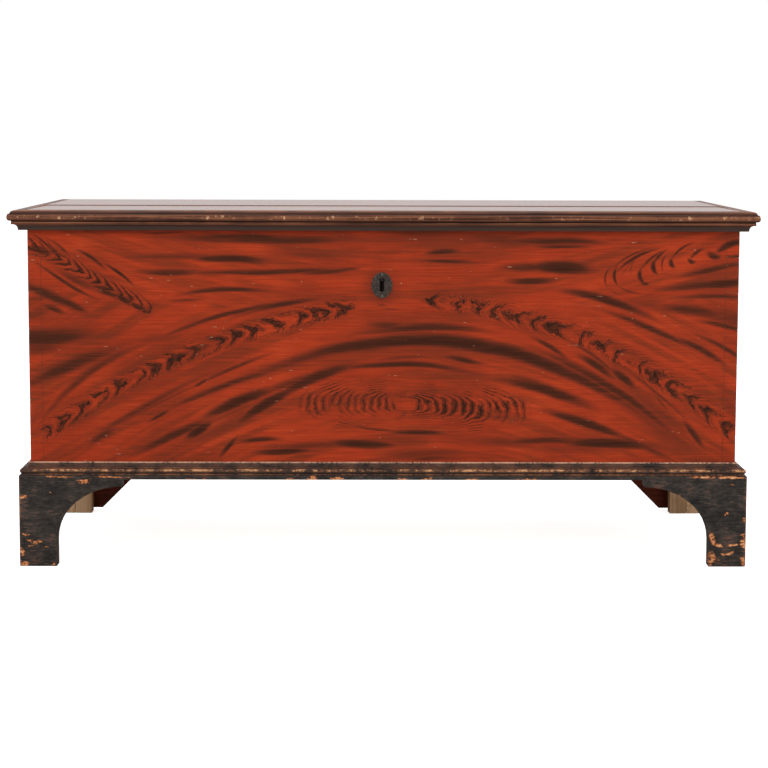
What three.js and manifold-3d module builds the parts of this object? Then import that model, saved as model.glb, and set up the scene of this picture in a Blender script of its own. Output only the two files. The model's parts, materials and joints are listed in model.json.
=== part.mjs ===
// A dovetailed blanket chest on a bracket base, with a moulded lid, two butt hinges and a chest lock.
// Millimetres, +Z up, the front faces -Y. The origin is under the middle of the lid, on the floor.
import * as THREE from 'three';
import { mergeVertices } from 'three/addons/utils/BufferGeometryUtils.js';
import Module from 'manifold-3d';

const wasm = await Module();
wasm.setup();

// Clearances
const fit_gap = 0.2; // a glued or seated joint
const dovetail_gap = 0.3; // each sloping cheek of a tail
const mitre_gap = 0.3; // an open mitre, measured along the board
const overrun = 6; // how far a cutter runs past what it cuts

// Case
const case_width = 1210;
const case_depth = 505;
const case_height = 430;
const case_board = 22;
const tail_count = 7;
const tail_share = 0.72; // narrow end of a tail, as a share of the pitch
const tail_slope = 1 / 6;
const groove_depth = 7; // for the bottom boards
const bottom_board = 18;
const bottom_rise = 10; // wood left under the groove

// Till, an open box at the left end
const till_width = 150;
const till_height = 110;
const till_drop = 25; // from the case's top edge to the till's
const till_board = 10;
const till_housing = 4; // how deep it is let into the front and back

// Base
const base_height = 158;
const base_board = 26;
const base_projection = 18.25; // in front of the case, at the front and sides
const arch_rail = 7.5; // wood left over the arch
const leg_width = 64;
const rear_leg_width = 41;
const leg_straight = 45; // height of the leg below its curve
const bracket_reach = 176.75; // from the corner to the step
const bracket_step = 12;
const base_moulding_height = 21;
const base_moulding_projection = 16.7;
const rear_bracket_board = 14;
const rear_bracket_rise = 6;
const rear_bracket_foot = 50;
const block_width = 32;
const block_depth = 27;

// Lid
const lid_board = 22;
const lid_overhang = 30; // past the case at the front and sides
const lid_rear_overhang = 5;
const lid_side_clearance = 1.5; // between the case and the hanging edge of the mouldings
const lid_front_board = 223; // width of the narrower, front board
const lid_moulding_height = 34;
const lid_seat = 0.3; // between the case's top edge and the lid

// Hinges
const hinge_inset = 205; // from the case's end to the hinge's middle
const hinge_length = 64;
const leaf_width = 20; // from the pin's axis
const leaf_thickness = 2;
const barrel_radius = 4;
const barrel_clearance = 0.4;
const pin_radius = 1.8;
const pin_setback = 1; // the pin's axis behind the case
const knuckle_count = 5;

// Screws
const screw_head_radius = 4;
const screw_head_depth = 2;
const screw_radius = 2.1;
const screw_length = 15;
const screw_point = 5;
const screw_slot_width = 1;
const screw_slot_depth = 0.7;
const screw_gap = 0.3;
const hinge_screw_spacing = 22;
const hinge_screw_stagger = 4;

// Keyhole and escutcheon
const keyhole_offset = -3.5; // left of the middle
const keyhole_drop = 96; // the round part's centre, below the case's top edge
const keyhole_radius = 3.6;
const keyhole_slot = 5.8;
const keyhole_length = 21; // from the round part's centre to the slot's end
const escutcheon_width = 35.5;
const escutcheon_height = 44;
const escutcheon_thickness = 1.6;
const escutcheon_drop = 8.8; // its centre below the keyhole's round part
const nail_head_radius = 1.7;
const nail_head_height = 0.8;
const nail_radius = 0.8;
const nail_length = 8;
const nail_inset = 3.6; // from the escutcheon's edge

// Lock
const lock_half_width = 60;
const lock_drop = 30; // plate below the keyhole
const lock_plate = 2.5;
const selvage_depth = 17;
const cap_half_width = 48;
const cap_drop = 26; // cap below the keyhole
const cap_depth = 12;
const cap_wall = 1.5;
const mortise_clearance = 0.5;
const lock_screw_inset = 6;
const drill_pin_radius = 2;
const drill_pin_length = 10.5;
const ward_radius = 10;
const ward_wall = 1.2;
const ward_height = 4;
const ward_half_opening = Math.PI / 5;

// Catch, with two loops that the bolt's fingers enter
const catch_half_width = 42;
const catch_plate = 2.5;
const loop_offset = 20;
const loop_thickness = 3;
const loop_width = 10;
const loop_drop = 17;
const loop_wall = 2;
const loop_hole_height = 8;
const loop_clearance = 1;
const loop_setback = 0.5; // in front of the lock's plate

// Bolt
const bolt_thickness = 4.5;
const bolt_bar = 8;
const bolt_drop = 19; // top of the bar below the lid
const finger_length = 10;
const finger_height = 6.5;
const finger_gap = 2;
const post_width = 6;
const bar_end = 14; // bar past the right loop
const tail_width = 16;
const tail_clearance = 14; // end of the tail above the keyhole
const talon_width = 8;
const talon_depth = 7;
const ledge_height = 4;
const ledge_length = 14;
const spring_thickness = 1;
const spring_reach = 12;
const spring_rise = 11;
const spring_foot = 3;

// Places worked out from the sizes above
const case_front = (lid_overhang - case_depth - lid_rear_overhang) / 2;
const case_back = case_front + case_depth;
const case_half = case_width / 2;
const inner_half = case_half - case_board;
const inner_front = case_front + case_board;
const inner_back = case_back - case_board;
const base_half = case_half + base_projection;
const base_front = case_front - base_projection;
const base_inner = base_half - base_board;
const lid_back = case_back + lid_rear_overhang;
const lid_board_half = case_half + lid_side_clearance;
const lid_board_front = case_front - lid_side_clearance;
const case_floor = base_height + fit_gap;
const lid_floor = case_floor + case_height + lid_seat;
const till_top = case_height - till_drop;
const till_side_left = -inner_half + till_width;
const pin_y = case_back + pin_setback;
const hinge_places = [hinge_inset - case_half, case_half - hinge_inset];
const arch_height = base_height - arch_rail;
const keyhole_height = case_height - keyhole_drop;

// Finishes
const finishes = {
  red_paint: { color: 0xa13a22, roughness: 0.5, metalness: 0 },
  black_paint: { color: 0x2f2c2b, roughness: 0.55, metalness: 0 },
  brown_paint: { color: 0x5e3f31, roughness: 0.5, metalness: 0 },
  bare_pine: { color: 0xb08a5e, roughness: 0.8, metalness: 0 },
  iron: { color: 0x3a3532, roughness: 0.6, metalness: 0.8 },
};

// Solids

function solidOf(geometry) {
  const plain = geometry.clone();
  plain.deleteAttribute('normal');
  plain.deleteAttribute('uv');
  const merged = mergeVertices(plain, fit_gap / 1000);
  return new wasm.Manifold(new wasm.Mesh({
    numProp: 3,
    vertProperties: new Float32Array(merged.attributes.position.array),
    triVerts: new Uint32Array(merged.index.array),
  }));
}

function geometryOf(solid) {
  const mesh = solid.getMesh();
  const geometry = new THREE.BufferGeometry();
  geometry.setAttribute('position', new THREE.BufferAttribute(mesh.vertProperties, mesh.numProp));
  geometry.setIndex(new THREE.BufferAttribute(mesh.triVerts, 1));
  return geometry;
}

function cut(body, tools) {
  let solid = solidOf(body);
  for (const tool of tools) solid = solid.subtract(solidOf(tool));
  return geometryOf(solid);
}

function join(bodies) {
  let solid = solidOf(bodies[0]);
  for (const body of bodies.slice(1)) solid = solid.add(solidOf(body));
  return geometryOf(solid);
}

function common(body, other) {
  return geometryOf(solidOf(body).intersect(solidOf(other)));
}

// A box between any two opposite corners
function box(from, to) {
  const size = to.map((value, i) => Math.abs(value - from[i]));
  const middle = to.map((value, i) => (value + from[i]) / 2);
  return new THREE.BoxGeometry(...size).translate(...middle);
}

function polygon(points) {
  return new THREE.Shape(points.map(([x, y]) => new THREE.Vector2(x, y)));
}

// An outline drawn in the plane of two axes and pushed out along the third
function slab(shape, across, up, from, depth, steps = 12) {
  const options = { depth, bevelEnabled: false, curveSegments: steps };
  const geometry = new THREE.ExtrudeGeometry(shape, options);
  const along = new THREE.Vector3().crossVectors(across, up);
  geometry.applyMatrix4(new THREE.Matrix4().makeBasis(across, up, along));
  return geometry.translate(...from);
}

const right = new THREE.Vector3(1, 0, 0);
const left = new THREE.Vector3(-1, 0, 0);
const back = new THREE.Vector3(0, 1, 0);
const front = new THREE.Vector3(0, -1, 0);
const up = new THREE.Vector3(0, 0, 1);

// Outline in X and Z, from y to y + depth
function frontSlab(shape, y, depth, steps) {
  return slab(shape, right, up, [0, y + depth, 0], depth, steps);
}

// Outline in Y and Z, from x to x + depth
function sideSlab(shape, x, depth, steps) {
  return slab(shape, back, up, [x, 0, 0], depth, steps);
}

// Outline in X and Y, from z to z + depth
function flatSlab(shape, z, depth, steps) {
  return slab(shape, right, back, [0, 0, z], depth, steps);
}

function rod(radius, length, segments = 20) {
  return new THREE.CylinderGeometry(radius, radius, length, segments).rotateZ(Math.PI / 2);
}

// Plan of a strip along the front, mitred at both ends
function frontMitre(half, y, depth, z, height) {
  const low = half - mitre_gap;
  const plan = [[-low, y], [low, y], [low - depth, y + depth], [depth - low, y + depth]];
  return flatSlab(polygon(plan), z, height);
}

// Plan of a strip along one side, mitred at the front and square at the back
function sideMitre(side, half, y, yEnd, depth, z, height) {
  const outer = side * half;
  const inner = side * (half - depth);
  const plan = [[outer, y + mitre_gap], [outer, yEnd], [inner, yEnd], [inner, y + depth + mitre_gap]];
  return flatSlab(polygon(side > 0 ? plan : plan.reverse()), z, height);
}

// Scene

const chest = new THREE.Group();

function group(z) {
  const made = new THREE.Group();
  made.position.z = z;
  chest.add(made);
  return made;
}

const base = group(0);
const body = group(case_floor);
const lid = group(lid_floor);

function add(parent, name, geometry, finish, place = [0, 0, 0]) {
  const mesh = new THREE.Mesh(geometry, new THREE.MeshStandardMaterial(finishes[finish]));
  mesh.name = name;
  mesh.position.set(...place);
  parent.add(mesh);
  return mesh;
}

// Base

const foot_steps = 12;

// Edge of a bracket foot from the floor at its corner to the arch. It is measured from the corner.
function footEdge(leg) {
  const curve_width = bracket_reach - leg_width;
  const curve_height = arch_height - bracket_step - leg_straight;
  const middle = [leg + curve_width, leg_straight];
  const arc = new THREE.EllipseCurve(...middle, curve_width, curve_height, Math.PI, Math.PI / 2, true);
  const curve = arc.getPoints(foot_steps).map((point) => [point.x, point.y]);
  return [[leg, 0], ...curve, [leg + curve_width, arch_height]];
}

// A base board between two corners, with a foot at each end and the arch between them
function bracketOutline(start, end, startLeg, endLeg) {
  const first = footEdge(startLeg).map(([x, z]) => [start + x, z]);
  const last = footEdge(endLeg).map(([x, z]) => [end - x, z]).reverse();
  return polygon([[start, base_height], [start, 0], ...first, ...last, [end, 0], [end, base_height]]);
}

function buildBase() {
  const outline = bracketOutline(-base_half, base_half, leg_width, leg_width);
  const board = frontSlab(outline, base_front, base_board);
  const plan = frontMitre(base_half, base_front, base_board, 0, base_height);
  add(base, 'base_front', common(board, plan), 'black_paint');
  for (const [name, side] of [['left', -1], ['right', 1]]) {
    const shape = bracketOutline(base_front, case_back, leg_width, rear_leg_width);
    const x = Math.min(side * base_half, side * base_inner);
    const end = sideSlab(shape, x, base_board);
    const trim = sideMitre(side, base_half, base_front, case_back, base_board, 0, base_height);
    add(base, `base_${name}`, common(end, trim), 'black_paint');
    add(base, `rear_bracket_${name}`, rearBracket(side), 'red_paint');
    buildBlocks(name, side);
  }
}

// A plain board behind each rear foot, cut off on the slant
function rearBracket(side) {
  const outer = base_inner - fit_gap;
  const tip = base_inner - rear_bracket_foot;
  const run = base_height - rear_bracket_rise;
  const low = rear_bracket_rise;
  const points = [[outer, low], [tip, low], [tip - run, base_height], [outer, base_height]];
  const shape = polygon(points.map(([x, z]) => [side * x, z]));
  return frontSlab(shape, case_back - rear_bracket_board, rear_bracket_board);
}

// Corner blocks glued inside the feet
function buildBlocks(name, side) {
  const outer = side * (base_inner - fit_gap);
  const inner = side * (base_inner - fit_gap - block_width);
  const places = [
    ['front', base_front + base_board + fit_gap],
    ['rear', case_back - rear_bracket_board - fit_gap - block_depth],
  ];
  for (const [end, y] of places) {
    const block = box([outer, y, 0], [inner, y + block_depth, base_height]);
    add(base, `glue_block_${end}_${name}`, block, 'bare_pine');
  }
}

// Section of the base moulding: a groove over the board's edge, a bead, a cove and a fillet
function baseMouldingSection() {
  const w = base_moulding_projection;
  const h = base_moulding_height;
  const width_shares = { groove: 0.86, bead: 0.62, radius: 0.38, fillet: 0.16 };
  const height_shares = { groove: 0.1, bead: 0.33, radius: 0.23, cove: 0.6, fillet: 0.9 };
  const groove = w * width_shares.groove;
  const bead = [w * width_shares.bead, h * height_shares.bead];
  const radii = [w * width_shares.radius, h * height_shares.radius];
  const fillet = w * width_shares.fillet;
  const cove = h * height_shares.cove;
  const shape = new THREE.Shape();
  shape.moveTo(fit_gap, 0);
  shape.lineTo(groove, 0);
  shape.lineTo(groove, h * height_shares.groove);
  shape.absellipse(...bead, ...radii, -Math.PI / 2, Math.PI / 2, false, 0);
  shape.lineTo(bead[0], cove);
  shape.quadraticCurveTo(fillet, cove, fillet, h * height_shares.fillet);
  shape.lineTo(fillet, h);
  shape.lineTo(fit_gap, h);
  return shape;
}

// Section of the lid's edge: a thumb moulding over a fillet and a cove, hanging below the lid
function lidMouldingSection() {
  const w = lid_overhang;
  const low = lid_board - lid_moulding_height;
  const inner = lid_side_clearance + fit_gap;
  const width_shares = { foot: 0.46, cove: 0.5, fillet: 0.76, thumb: 0.9, top: 0.57 };
  const height_shares = { cove: 0.06, fillet: 0.3, quirk: 0.36, thumb: 0.4, widest: 0.62 };
  const z = (share) => low + lid_moulding_height * share;
  const foot = w * width_shares.foot;
  const fillet = [w * width_shares.fillet, z(height_shares.fillet)];
  const thumb = z(height_shares.thumb);
  const shape = new THREE.Shape();
  shape.moveTo(inner, low);
  shape.lineTo(foot, low);
  shape.lineTo(foot, z(height_shares.cove));
  shape.quadraticCurveTo(w * width_shares.cove, fillet[1], ...fillet);
  shape.lineTo(fillet[0], z(height_shares.quirk));
  shape.lineTo(w * width_shares.thumb, thumb);
  shape.quadraticCurveTo(w, thumb, w, z(height_shares.widest));
  shape.quadraticCurveTo(w, lid_board, w * width_shares.top, lid_board);
  shape.lineTo(inner, lid_board);
  return shape;
}

// Three strips of one section around the front and sides, mitred at the front corners
function buildMouldings(parent, prefix, shape, width, yEnd, finish) {
  const y = case_front - width;
  const half = case_half + width;
  const low = -lid_moulding_height;
  const tall = 3 * lid_moulding_height;
  const steps = 6;
  const strip = slab(shape, front, up, [half, case_front, 0], 2 * half, steps);
  const plan = frontMitre(half, y, width, low, tall);
  add(parent, `${prefix}_front`, common(strip, plan), finish);
  for (const [name, side] of [['left', -1], ['right', 1]]) {
    const from = [side * case_half, side > 0 ? yEnd : y, 0];
    const run = slab(shape, side > 0 ? right : left, up, from, yEnd - y, steps);
    const trim = sideMitre(side, half, y, yEnd, width, low, tall);
    add(parent, `${prefix}_${name}`, common(run, trim), finish);
  }
}

function buildBaseMouldings() {
  const width = base_moulding_projection;
  buildMouldings(body, 'base_moulding', baseMouldingSection(), width, case_back, 'black_paint');
}

// Case

const tail_pitch = case_height / tail_count;

// Half width of a tail at a distance from its narrow end
function tailHalf(distance) {
  return tail_pitch * tail_share / 2 + distance * tail_slope;
}

function tailCentre(i) {
  return tail_pitch * (i + 1 / 2);
}

// The front and back boards carry the tails
function tailOutline() {
  const shoulder = inner_half - fit_gap;
  const edge = [];
  for (let i = 0; i < tail_count; i += 1) {
    const z = tailCentre(i);
    const narrow = tailHalf(0);
    const wide = tailHalf(case_board);
    edge.push([shoulder, z - narrow], [case_half, z - wide], [case_half, z + wide], [shoulder, z + narrow]);
  }
  const rising = [[shoulder, 0], ...edge, [shoulder, case_height]];
  const falling = rising.map(([x, z]) => [-x, z]).reverse();
  return polygon([...rising, ...falling]);
}

// The sockets in a side board that one end board's tails fill
function tailSockets(side, y, depth) {
  const low = inner_half - overrun;
  const high = case_half + overrun;
  const sockets = [];
  for (let i = 0; i < tail_count; i += 1) {
    const z = tailCentre(i);
    const narrow = tailHalf(-overrun) + dovetail_gap;
    const wide = tailHalf(case_board + overrun) + dovetail_gap;
    const points = [[low, z - narrow], [high, z - wide], [high, z + wide], [low, z + narrow]];
    sockets.push(frontSlab(polygon(points.map(([x, h]) => [side * x, h])), y, depth));
  }
  return sockets;
}

// Grooves and housings that cross the inner face of the front or back board
function boardGrooves(yFace, into) {
  const past = yFace - into * overrun;
  const groove = yFace + into * groove_depth;
  const housing = yFace + into * till_housing;
  const till_low = till_top - till_height - fit_gap;
  const till_right = till_side_left + till_board;
  const low = bottom_rise - fit_gap;
  const high = bottom_rise + bottom_board + fit_gap;
  return [
    box([-inner_half, past, low], [inner_half, groove, high]),
    box([-inner_half, past, till_low], [till_right, housing, till_low + till_board + 2 * fit_gap]),
    box([till_side_left - fit_gap, past, till_low], [till_right + fit_gap, housing, case_height + overrun]),
  ];
}

function buildCase() {
  const outline = tailOutline();
  const frontBoard = frontSlab(outline, case_front, case_board);
  const lockWork = [...lockCuts(), keyholeCut(), ...escutcheonNailCuts()];
  add(body, 'case_front', cut(frontBoard, [...boardGrooves(inner_front, -1), ...lockWork]), 'red_paint');
  const backBoard = frontSlab(outline, inner_back, case_board);
  const backCuts = [...boardGrooves(inner_back, 1), ...hingeCuts(false)];
  add(body, 'case_back', cut(backBoard, backCuts), 'red_paint');
  for (const [name, side] of [['left', -1], ['right', 1]]) {
    const face = side * inner_half;
    const board = box([side * case_half, case_front, 0], [face, case_back, case_height]);
    const low = [face - side * overrun, inner_front, bottom_rise - fit_gap];
    const high = [face + side * groove_depth, inner_back, bottom_rise + bottom_board + fit_gap];
    const cuts = [
      ...tailSockets(side, case_front - overrun, overrun + case_board + fit_gap),
      ...tailSockets(side, inner_back - fit_gap, overrun + case_board + fit_gap),
      box(low, high),
    ];
    add(body, `case_${name}`, cut(board, cuts), 'red_paint');
  }
}

// Two bottom boards with their edges in the grooves, and the corners cut away
function buildBottom() {
  const tongue = groove_depth - fit_gap;
  const middle = (inner_front + inner_back) / 2;
  for (const [name, y, toward] of [['front', inner_front, 1], ['rear', inner_back, -1]]) {
    const edge = y - toward * tongue;
    const shoulder = y + toward * fit_gap;
    const seam = middle - toward * fit_gap / 2;
    const short = inner_half - fit_gap;
    const long = inner_half + tongue;
    const half = [[short, edge], [short, shoulder], [long, shoulder], [long, seam]];
    const points = [...half, ...half.map(([x, h]) => [-x, h]).reverse()];
    const board = flatSlab(polygon(points), bottom_rise, bottom_board);
    add(body, `bottom_board_${name}`, board, 'bare_pine');
  }
}

function buildTill() {
  const low = till_top - till_height;
  const y = [inner_front - till_housing + fit_gap, inner_back + till_housing - fit_gap];
  const side = box([till_side_left, y[0], low], [till_side_left + till_board, y[1], till_top]);
  add(body, 'till_side', side, 'bare_pine');
  const floor = box([-inner_half + fit_gap, y[0], low], [till_side_left - fit_gap, y[1], low + till_board]);
  add(body, 'till_bottom', floor, 'bare_pine');
}

// Screws and nails

function turned(points, segments = 12) {
  const profile = points.map(([radius, z]) => new THREE.Vector2(radius, z));
  return new THREE.LatheGeometry(profile, segments).rotateX(Math.PI / 2);
}

// A countersunk screw or, with a gap, the hole it leaves. The flat of the head is at the origin.
function screwForm(gap) {
  const run = screw_length + gap;
  return turned([
    [0, -run],
    [screw_radius + gap, screw_point - run],
    [screw_radius + gap, -screw_head_depth],
    [screw_head_radius + gap, 0],
    ...(gap > 0 ? [[screw_head_radius + gap, overrun]] : []),
    [0, gap > 0 ? overrun : 0],
  ]);
}

function slottedScrew() {
  const reach = screw_head_radius + overrun;
  const half = screw_slot_width / 2;
  const slot = box([-reach, -half, -screw_slot_depth], [reach, half, overrun]);
  return cut(screwForm(0), [slot]);
}

const screw = slottedScrew();

function screwHole(place, turn = 0) {
  return screwForm(screw_gap).rotateX(turn).translate(...place);
}

function addScrew(parent, name, place, turn = 0) {
  const mesh = add(parent, name, screw, 'iron', place);
  mesh.rotation.x = turn;
}

// Hinges

// Pin's height above the case's top edge
const pin_rise = lid_seat / 2;

// Three staggered screws in a leaf, measured from its pin
function screwPlaces() {
  const middle = -(leaf_width + barrel_radius) / 2;
  const near = middle + hinge_screw_stagger / 2;
  const far = middle - hinge_screw_stagger / 2;
  return [[-hinge_screw_spacing, far], [0, near], [hinge_screw_spacing, far]];
}

// One leaf, with its knuckles and the pin at the origin. It lies under the pin, or over it on the lid.
function leafForm(onLid) {
  const pitch = hinge_length / knuckle_count;
  const half = hinge_length / 2;
  const parts = [box([-half, -leaf_width, -pin_rise - leaf_thickness], [half, 0, -pin_rise])];
  const cuts = [];
  for (let i = 0; i < knuckle_count; i += 1) {
    const x = -half + pitch * (i + 1 / 2);
    const own = (i % 2 === 1) === onLid;
    if (own) {
      parts.push(rod(barrel_radius, pitch - fit_gap).translate(x, 0, 0));
    } else {
      cuts.push(rod(barrel_radius + barrel_clearance, pitch + fit_gap).translate(x, 0, 0));
    }
  }
  cuts.push(rod(pin_radius + fit_gap, hinge_length + 2 * overrun));
  for (const [x, y] of screwPlaces()) cuts.push(screwHole([x, y, -pin_rise]));
  const leaf = cut(join(parts), cuts);
  return onLid ? leaf.rotateY(Math.PI) : leaf;
}

// The mortise for a leaf and the hollow for its barrel, in the case or in the lid
function hingeCuts(onLid) {
  const facing = onLid ? -1 : 1;
  const level = onLid ? -pin_rise : case_height + pin_rise;
  const face = level - facing * pin_rise;
  const half = hinge_length / 2 + fit_gap;
  const depth = face - facing * (leaf_thickness + fit_gap);
  const past = face + facing * overrun;
  const cuts = [];
  for (const x of hinge_places) {
    cuts.push(box([x - half, pin_y - leaf_width - fit_gap, depth], [x + half, lid_back + overrun, past]));
    cuts.push(rod(barrel_radius + barrel_clearance, 2 * half).translate(x, pin_y, level));
    for (const [across, along] of screwPlaces()) {
      cuts.push(screwHole([x + across, pin_y + along, face], onLid ? Math.PI : 0));
    }
  }
  return cuts;
}

function buildHinges() {
  const hinges = [['left', hinge_places[0]], ['right', hinge_places[1]]];
  const level = case_height + pin_rise;
  for (const [name, x] of hinges) {
    add(body, `hinge_case_leaf_${name}`, leafForm(false), 'iron', [x, pin_y, level]);
    add(body, `hinge_pin_${name}`, rod(pin_radius, hinge_length), 'iron', [x, pin_y, level]);
    add(lid, `hinge_lid_leaf_${name}`, leafForm(true), 'iron', [x, pin_y, -pin_rise]);
    screwPlaces().forEach(([across, along], i) => {
      addScrew(body, `hinge_case_screw_${name}_${i + 1}`, [x + across, pin_y + along, case_height]);
      addScrew(lid, `hinge_lid_screw_${name}_${i + 1}`, [x + across, pin_y + along, 0], Math.PI);
    });
  }
}

// Escutcheon and keyhole

function keyholeOutline(gap) {
  const radius = keyhole_radius + gap;
  const half = keyhole_slot / 2 + gap;
  const meet = Math.asin(half / radius);
  const end = keyhole_height - keyhole_length + keyhole_slot / 2;
  const shape = new THREE.Shape();
  shape.absarc(keyhole_offset, keyhole_height, radius, meet - Math.PI / 2, 3 * Math.PI / 2 - meet, false);
  shape.absarc(keyhole_offset, end, half, Math.PI, 2 * Math.PI, false);
  return shape;
}

function keyholeCut() {
  return frontSlab(keyholeOutline(fit_gap), case_front - overrun, case_board + 2 * overrun, 8);
}

function escutcheonNails() {
  const middle = keyhole_height - escutcheon_drop;
  const reach = escutcheon_height / 2 - nail_inset;
  return [middle + reach, middle - reach];
}

// A nail or, with a gap, the hole it leaves
function nailForm(gap) {
  const head = [[nail_head_radius, 0], [nail_head_radius, nail_head_height / 2]];
  return turned([
    [0, -nail_length - gap],
    [nail_radius + gap, nail_radius - nail_length - gap],
    [nail_radius + gap, 0],
    ...(gap > 0 ? [[nail_radius + gap, overrun]] : head),
    [0, gap > 0 ? overrun : nail_head_height],
  ]);
}

const escutcheon_face = case_front - fit_gap - escutcheon_thickness;

function escutcheonNailCuts() {
  const hole = nailForm(fit_gap).rotateX(Math.PI / 2);
  return escutcheonNails().map((z) => hole.clone().translate(keyhole_offset, escutcheon_face, z));
}

function buildEscutcheon() {
  const oval = new THREE.Shape();
  const middle = [keyhole_offset, keyhole_height - escutcheon_drop];
  oval.absellipse(...middle, escutcheon_width / 2, escutcheon_height / 2, 0, 2 * Math.PI, false, 0);
  const y = escutcheon_face;
  const plate = frontSlab(oval, y, escutcheon_thickness, 20);
  const hole = frontSlab(keyholeOutline(0), y - overrun, escutcheon_thickness + 2 * overrun, 8);
  add(body, 'escutcheon', cut(plate, [hole, ...escutcheonNailCuts()]), 'iron');
  escutcheonNails().forEach((z, i) => {
    const place = [keyhole_offset, y - fit_gap, z];
    const nail = add(body, `escutcheon_nail_${i + 1}`, nailForm(0), 'iron', place);
    nail.rotation.x = Math.PI / 2;
  });
}

// Lock, let into the inner face of the front board. Its parts share these places.

const lock_x = keyhole_offset;
const plate_front = inner_front - lock_plate;
const cap_front = plate_front - cap_depth;
const plate_low = keyhole_height - lock_drop;
const cap_low = keyhole_height - cap_drop;
const selvage_floor = case_height - lock_plate;
const loop_back = plate_front - loop_setback;
const loop_front = loop_back - loop_width;
const bolt_middle = (loop_back + loop_front) / 2;
const bolt_back = bolt_middle + bolt_thickness / 2;
const bolt_front = bolt_middle - bolt_thickness / 2;
const bar_top = case_height - bolt_drop;
const bar_low = bar_top - bolt_bar;
const loop_low = case_height + lid_seat - loop_drop;
const finger_low = loop_low + loop_wall + (loop_hole_height - finger_height) / 2;

// At each end of the lock, one screw goes down through the selvage and one out through the plate
function lockScrewPlaces() {
  const reach = lock_half_width - lock_screw_inset;
  return [lock_x - reach, lock_x + reach].map((x) => ({
    selvage: [x, inner_front - selvage_depth / 2, case_height],
    plate: [x, inner_front, plate_low + 2 * lock_screw_inset],
  }));
}

// The hollow in the front board for the plate, the cap and the lock's screws
function lockCuts() {
  const wide = lock_half_width + fit_gap;
  const deep = cap_half_width + mortise_clearance;
  const selvage_y = inner_front - selvage_depth - fit_gap;
  const works_y = cap_front - mortise_clearance;
  const past = inner_front + overrun;
  const top = case_height + overrun;
  return [
    box([lock_x - wide, plate_front - fit_gap, plate_low - fit_gap], [lock_x + wide, past, top]),
    box([lock_x - wide, selvage_y, selvage_floor - fit_gap], [lock_x + wide, past, top]),
    box([lock_x - deep, works_y, cap_low - mortise_clearance], [lock_x + deep, past, top]),
    ...lockScrewHoles(),
  ];
}

function lockScrewHoles() {
  const holes = [];
  for (const { selvage, plate } of lockScrewPlaces()) {
    holes.push(screwHole(selvage), screwHole(plate, -Math.PI / 2));
  }
  return holes;
}

function loopPlaces() {
  return [lock_x - loop_offset, lock_x + loop_offset];
}

// Back plate, selvage along the board's edge, a rail behind the bolt and the ledges under it
function lockPlateForm() {
  const [low, high] = [lock_x - lock_half_width, lock_x + lock_half_width];
  const selvage_front = inner_front - selvage_depth;
  const rail = [lock_x - loop_offset, lock_x + loop_offset];
  const parts = [
    box([low, plate_front, plate_low], [high, inner_front, case_height]),
    box([low, selvage_front, selvage_floor], [high, inner_front, case_height]),
    box([rail[0], bolt_back + fit_gap, bar_low], [rail[1], inner_front, bar_top - fit_gap]),
  ];
  const ledge_top = bar_low - fit_gap;
  for (const side of [-1, 1]) {
    const end = lock_x + side * (cap_half_width - cap_wall - 2 * fit_gap);
    const start = end - side * ledge_length;
    parts.push(box([start, bolt_front, ledge_top - ledge_height], [end, inner_front, ledge_top]));
  }
  const slots = loopPlaces().map((x) => box(
    [x - loop_thickness / 2 - loop_clearance, loop_front - loop_clearance, selvage_floor - loop_clearance],
    [x + loop_thickness / 2 + loop_clearance, plate_front, case_height + overrun],
  ));
  return cut(join(parts), [...slots, ...lockScrewHoles()]);
}

// A shallow box over the works, open behind and on top, with the keyhole in its face
function lockCapForm() {
  const half = cap_half_width;
  const rear = plate_front - fit_gap;
  const outer = box([lock_x - half, cap_front, cap_low], [lock_x + half, rear, selvage_floor - fit_gap]);
  const inner_low = [lock_x - half + cap_wall, cap_front + cap_wall, cap_low + cap_wall];
  const hollow = box(inner_low, [lock_x + half - cap_wall, rear + overrun, case_height]);
  const hole = frontSlab(keyholeOutline(fit_gap), cap_front - overrun, cap_wall + 2 * overrun, 8);
  return cut(outer, [hollow, hole]);
}

// A bar with two fingers, and a tail that the key turns against
function boltOutline() {
  const fingers = loopPlaces().map((x) => {
    const tip = x - loop_thickness / 2 - finger_gap;
    const post = tip - finger_length;
    return { tip, post, foot: post - post_width };
  });
  const high = finger_low + finger_height;
  const tail = [lock_x - tail_width / 2, lock_x + tail_width / 2];
  const talon = [lock_x - talon_width / 2, lock_x + talon_width / 2];
  const tail_low = keyhole_height + tail_clearance;
  const end = loopPlaces()[1] + bar_end;
  const [first, last] = fingers;
  return polygon([
    [first.foot, bar_low],
    [tail[0], bar_low],
    [tail[0], tail_low],
    [talon[0], tail_low],
    [talon[0], tail_low + talon_depth],
    [talon[1], tail_low + talon_depth],
    [talon[1], tail_low],
    [tail[1], tail_low],
    [tail[1], bar_low],
    [end, bar_low],
    [end, bar_top],
    [last.post, bar_top],
    [last.post, finger_low],
    [last.tip, finger_low],
    [last.tip, high],
    [last.foot, high],
    [last.foot, bar_top],
    [first.post, bar_top],
    [first.post, finger_low],
    [first.tip, finger_low],
    [first.tip, high],
    [first.foot, high],
  ]);
}

// A bent strip that presses on the bar's end and keeps the bolt where the key leaves it
function springOutline() {
  const contact = loopPlaces()[1] + bar_end / 2 + spring_foot;
  const low = bar_top + fit_gap;
  const high = low + spring_rise;
  const t = spring_thickness;
  const anchor = contact + spring_reach;
  return polygon([
    [contact, low],
    [contact + t, low],
    [anchor, high - t],
    [anchor, high],
    [anchor - spring_foot, high],
    [anchor - spring_foot, high - t],
    [contact - t, low + t],
  ]);
}

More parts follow.
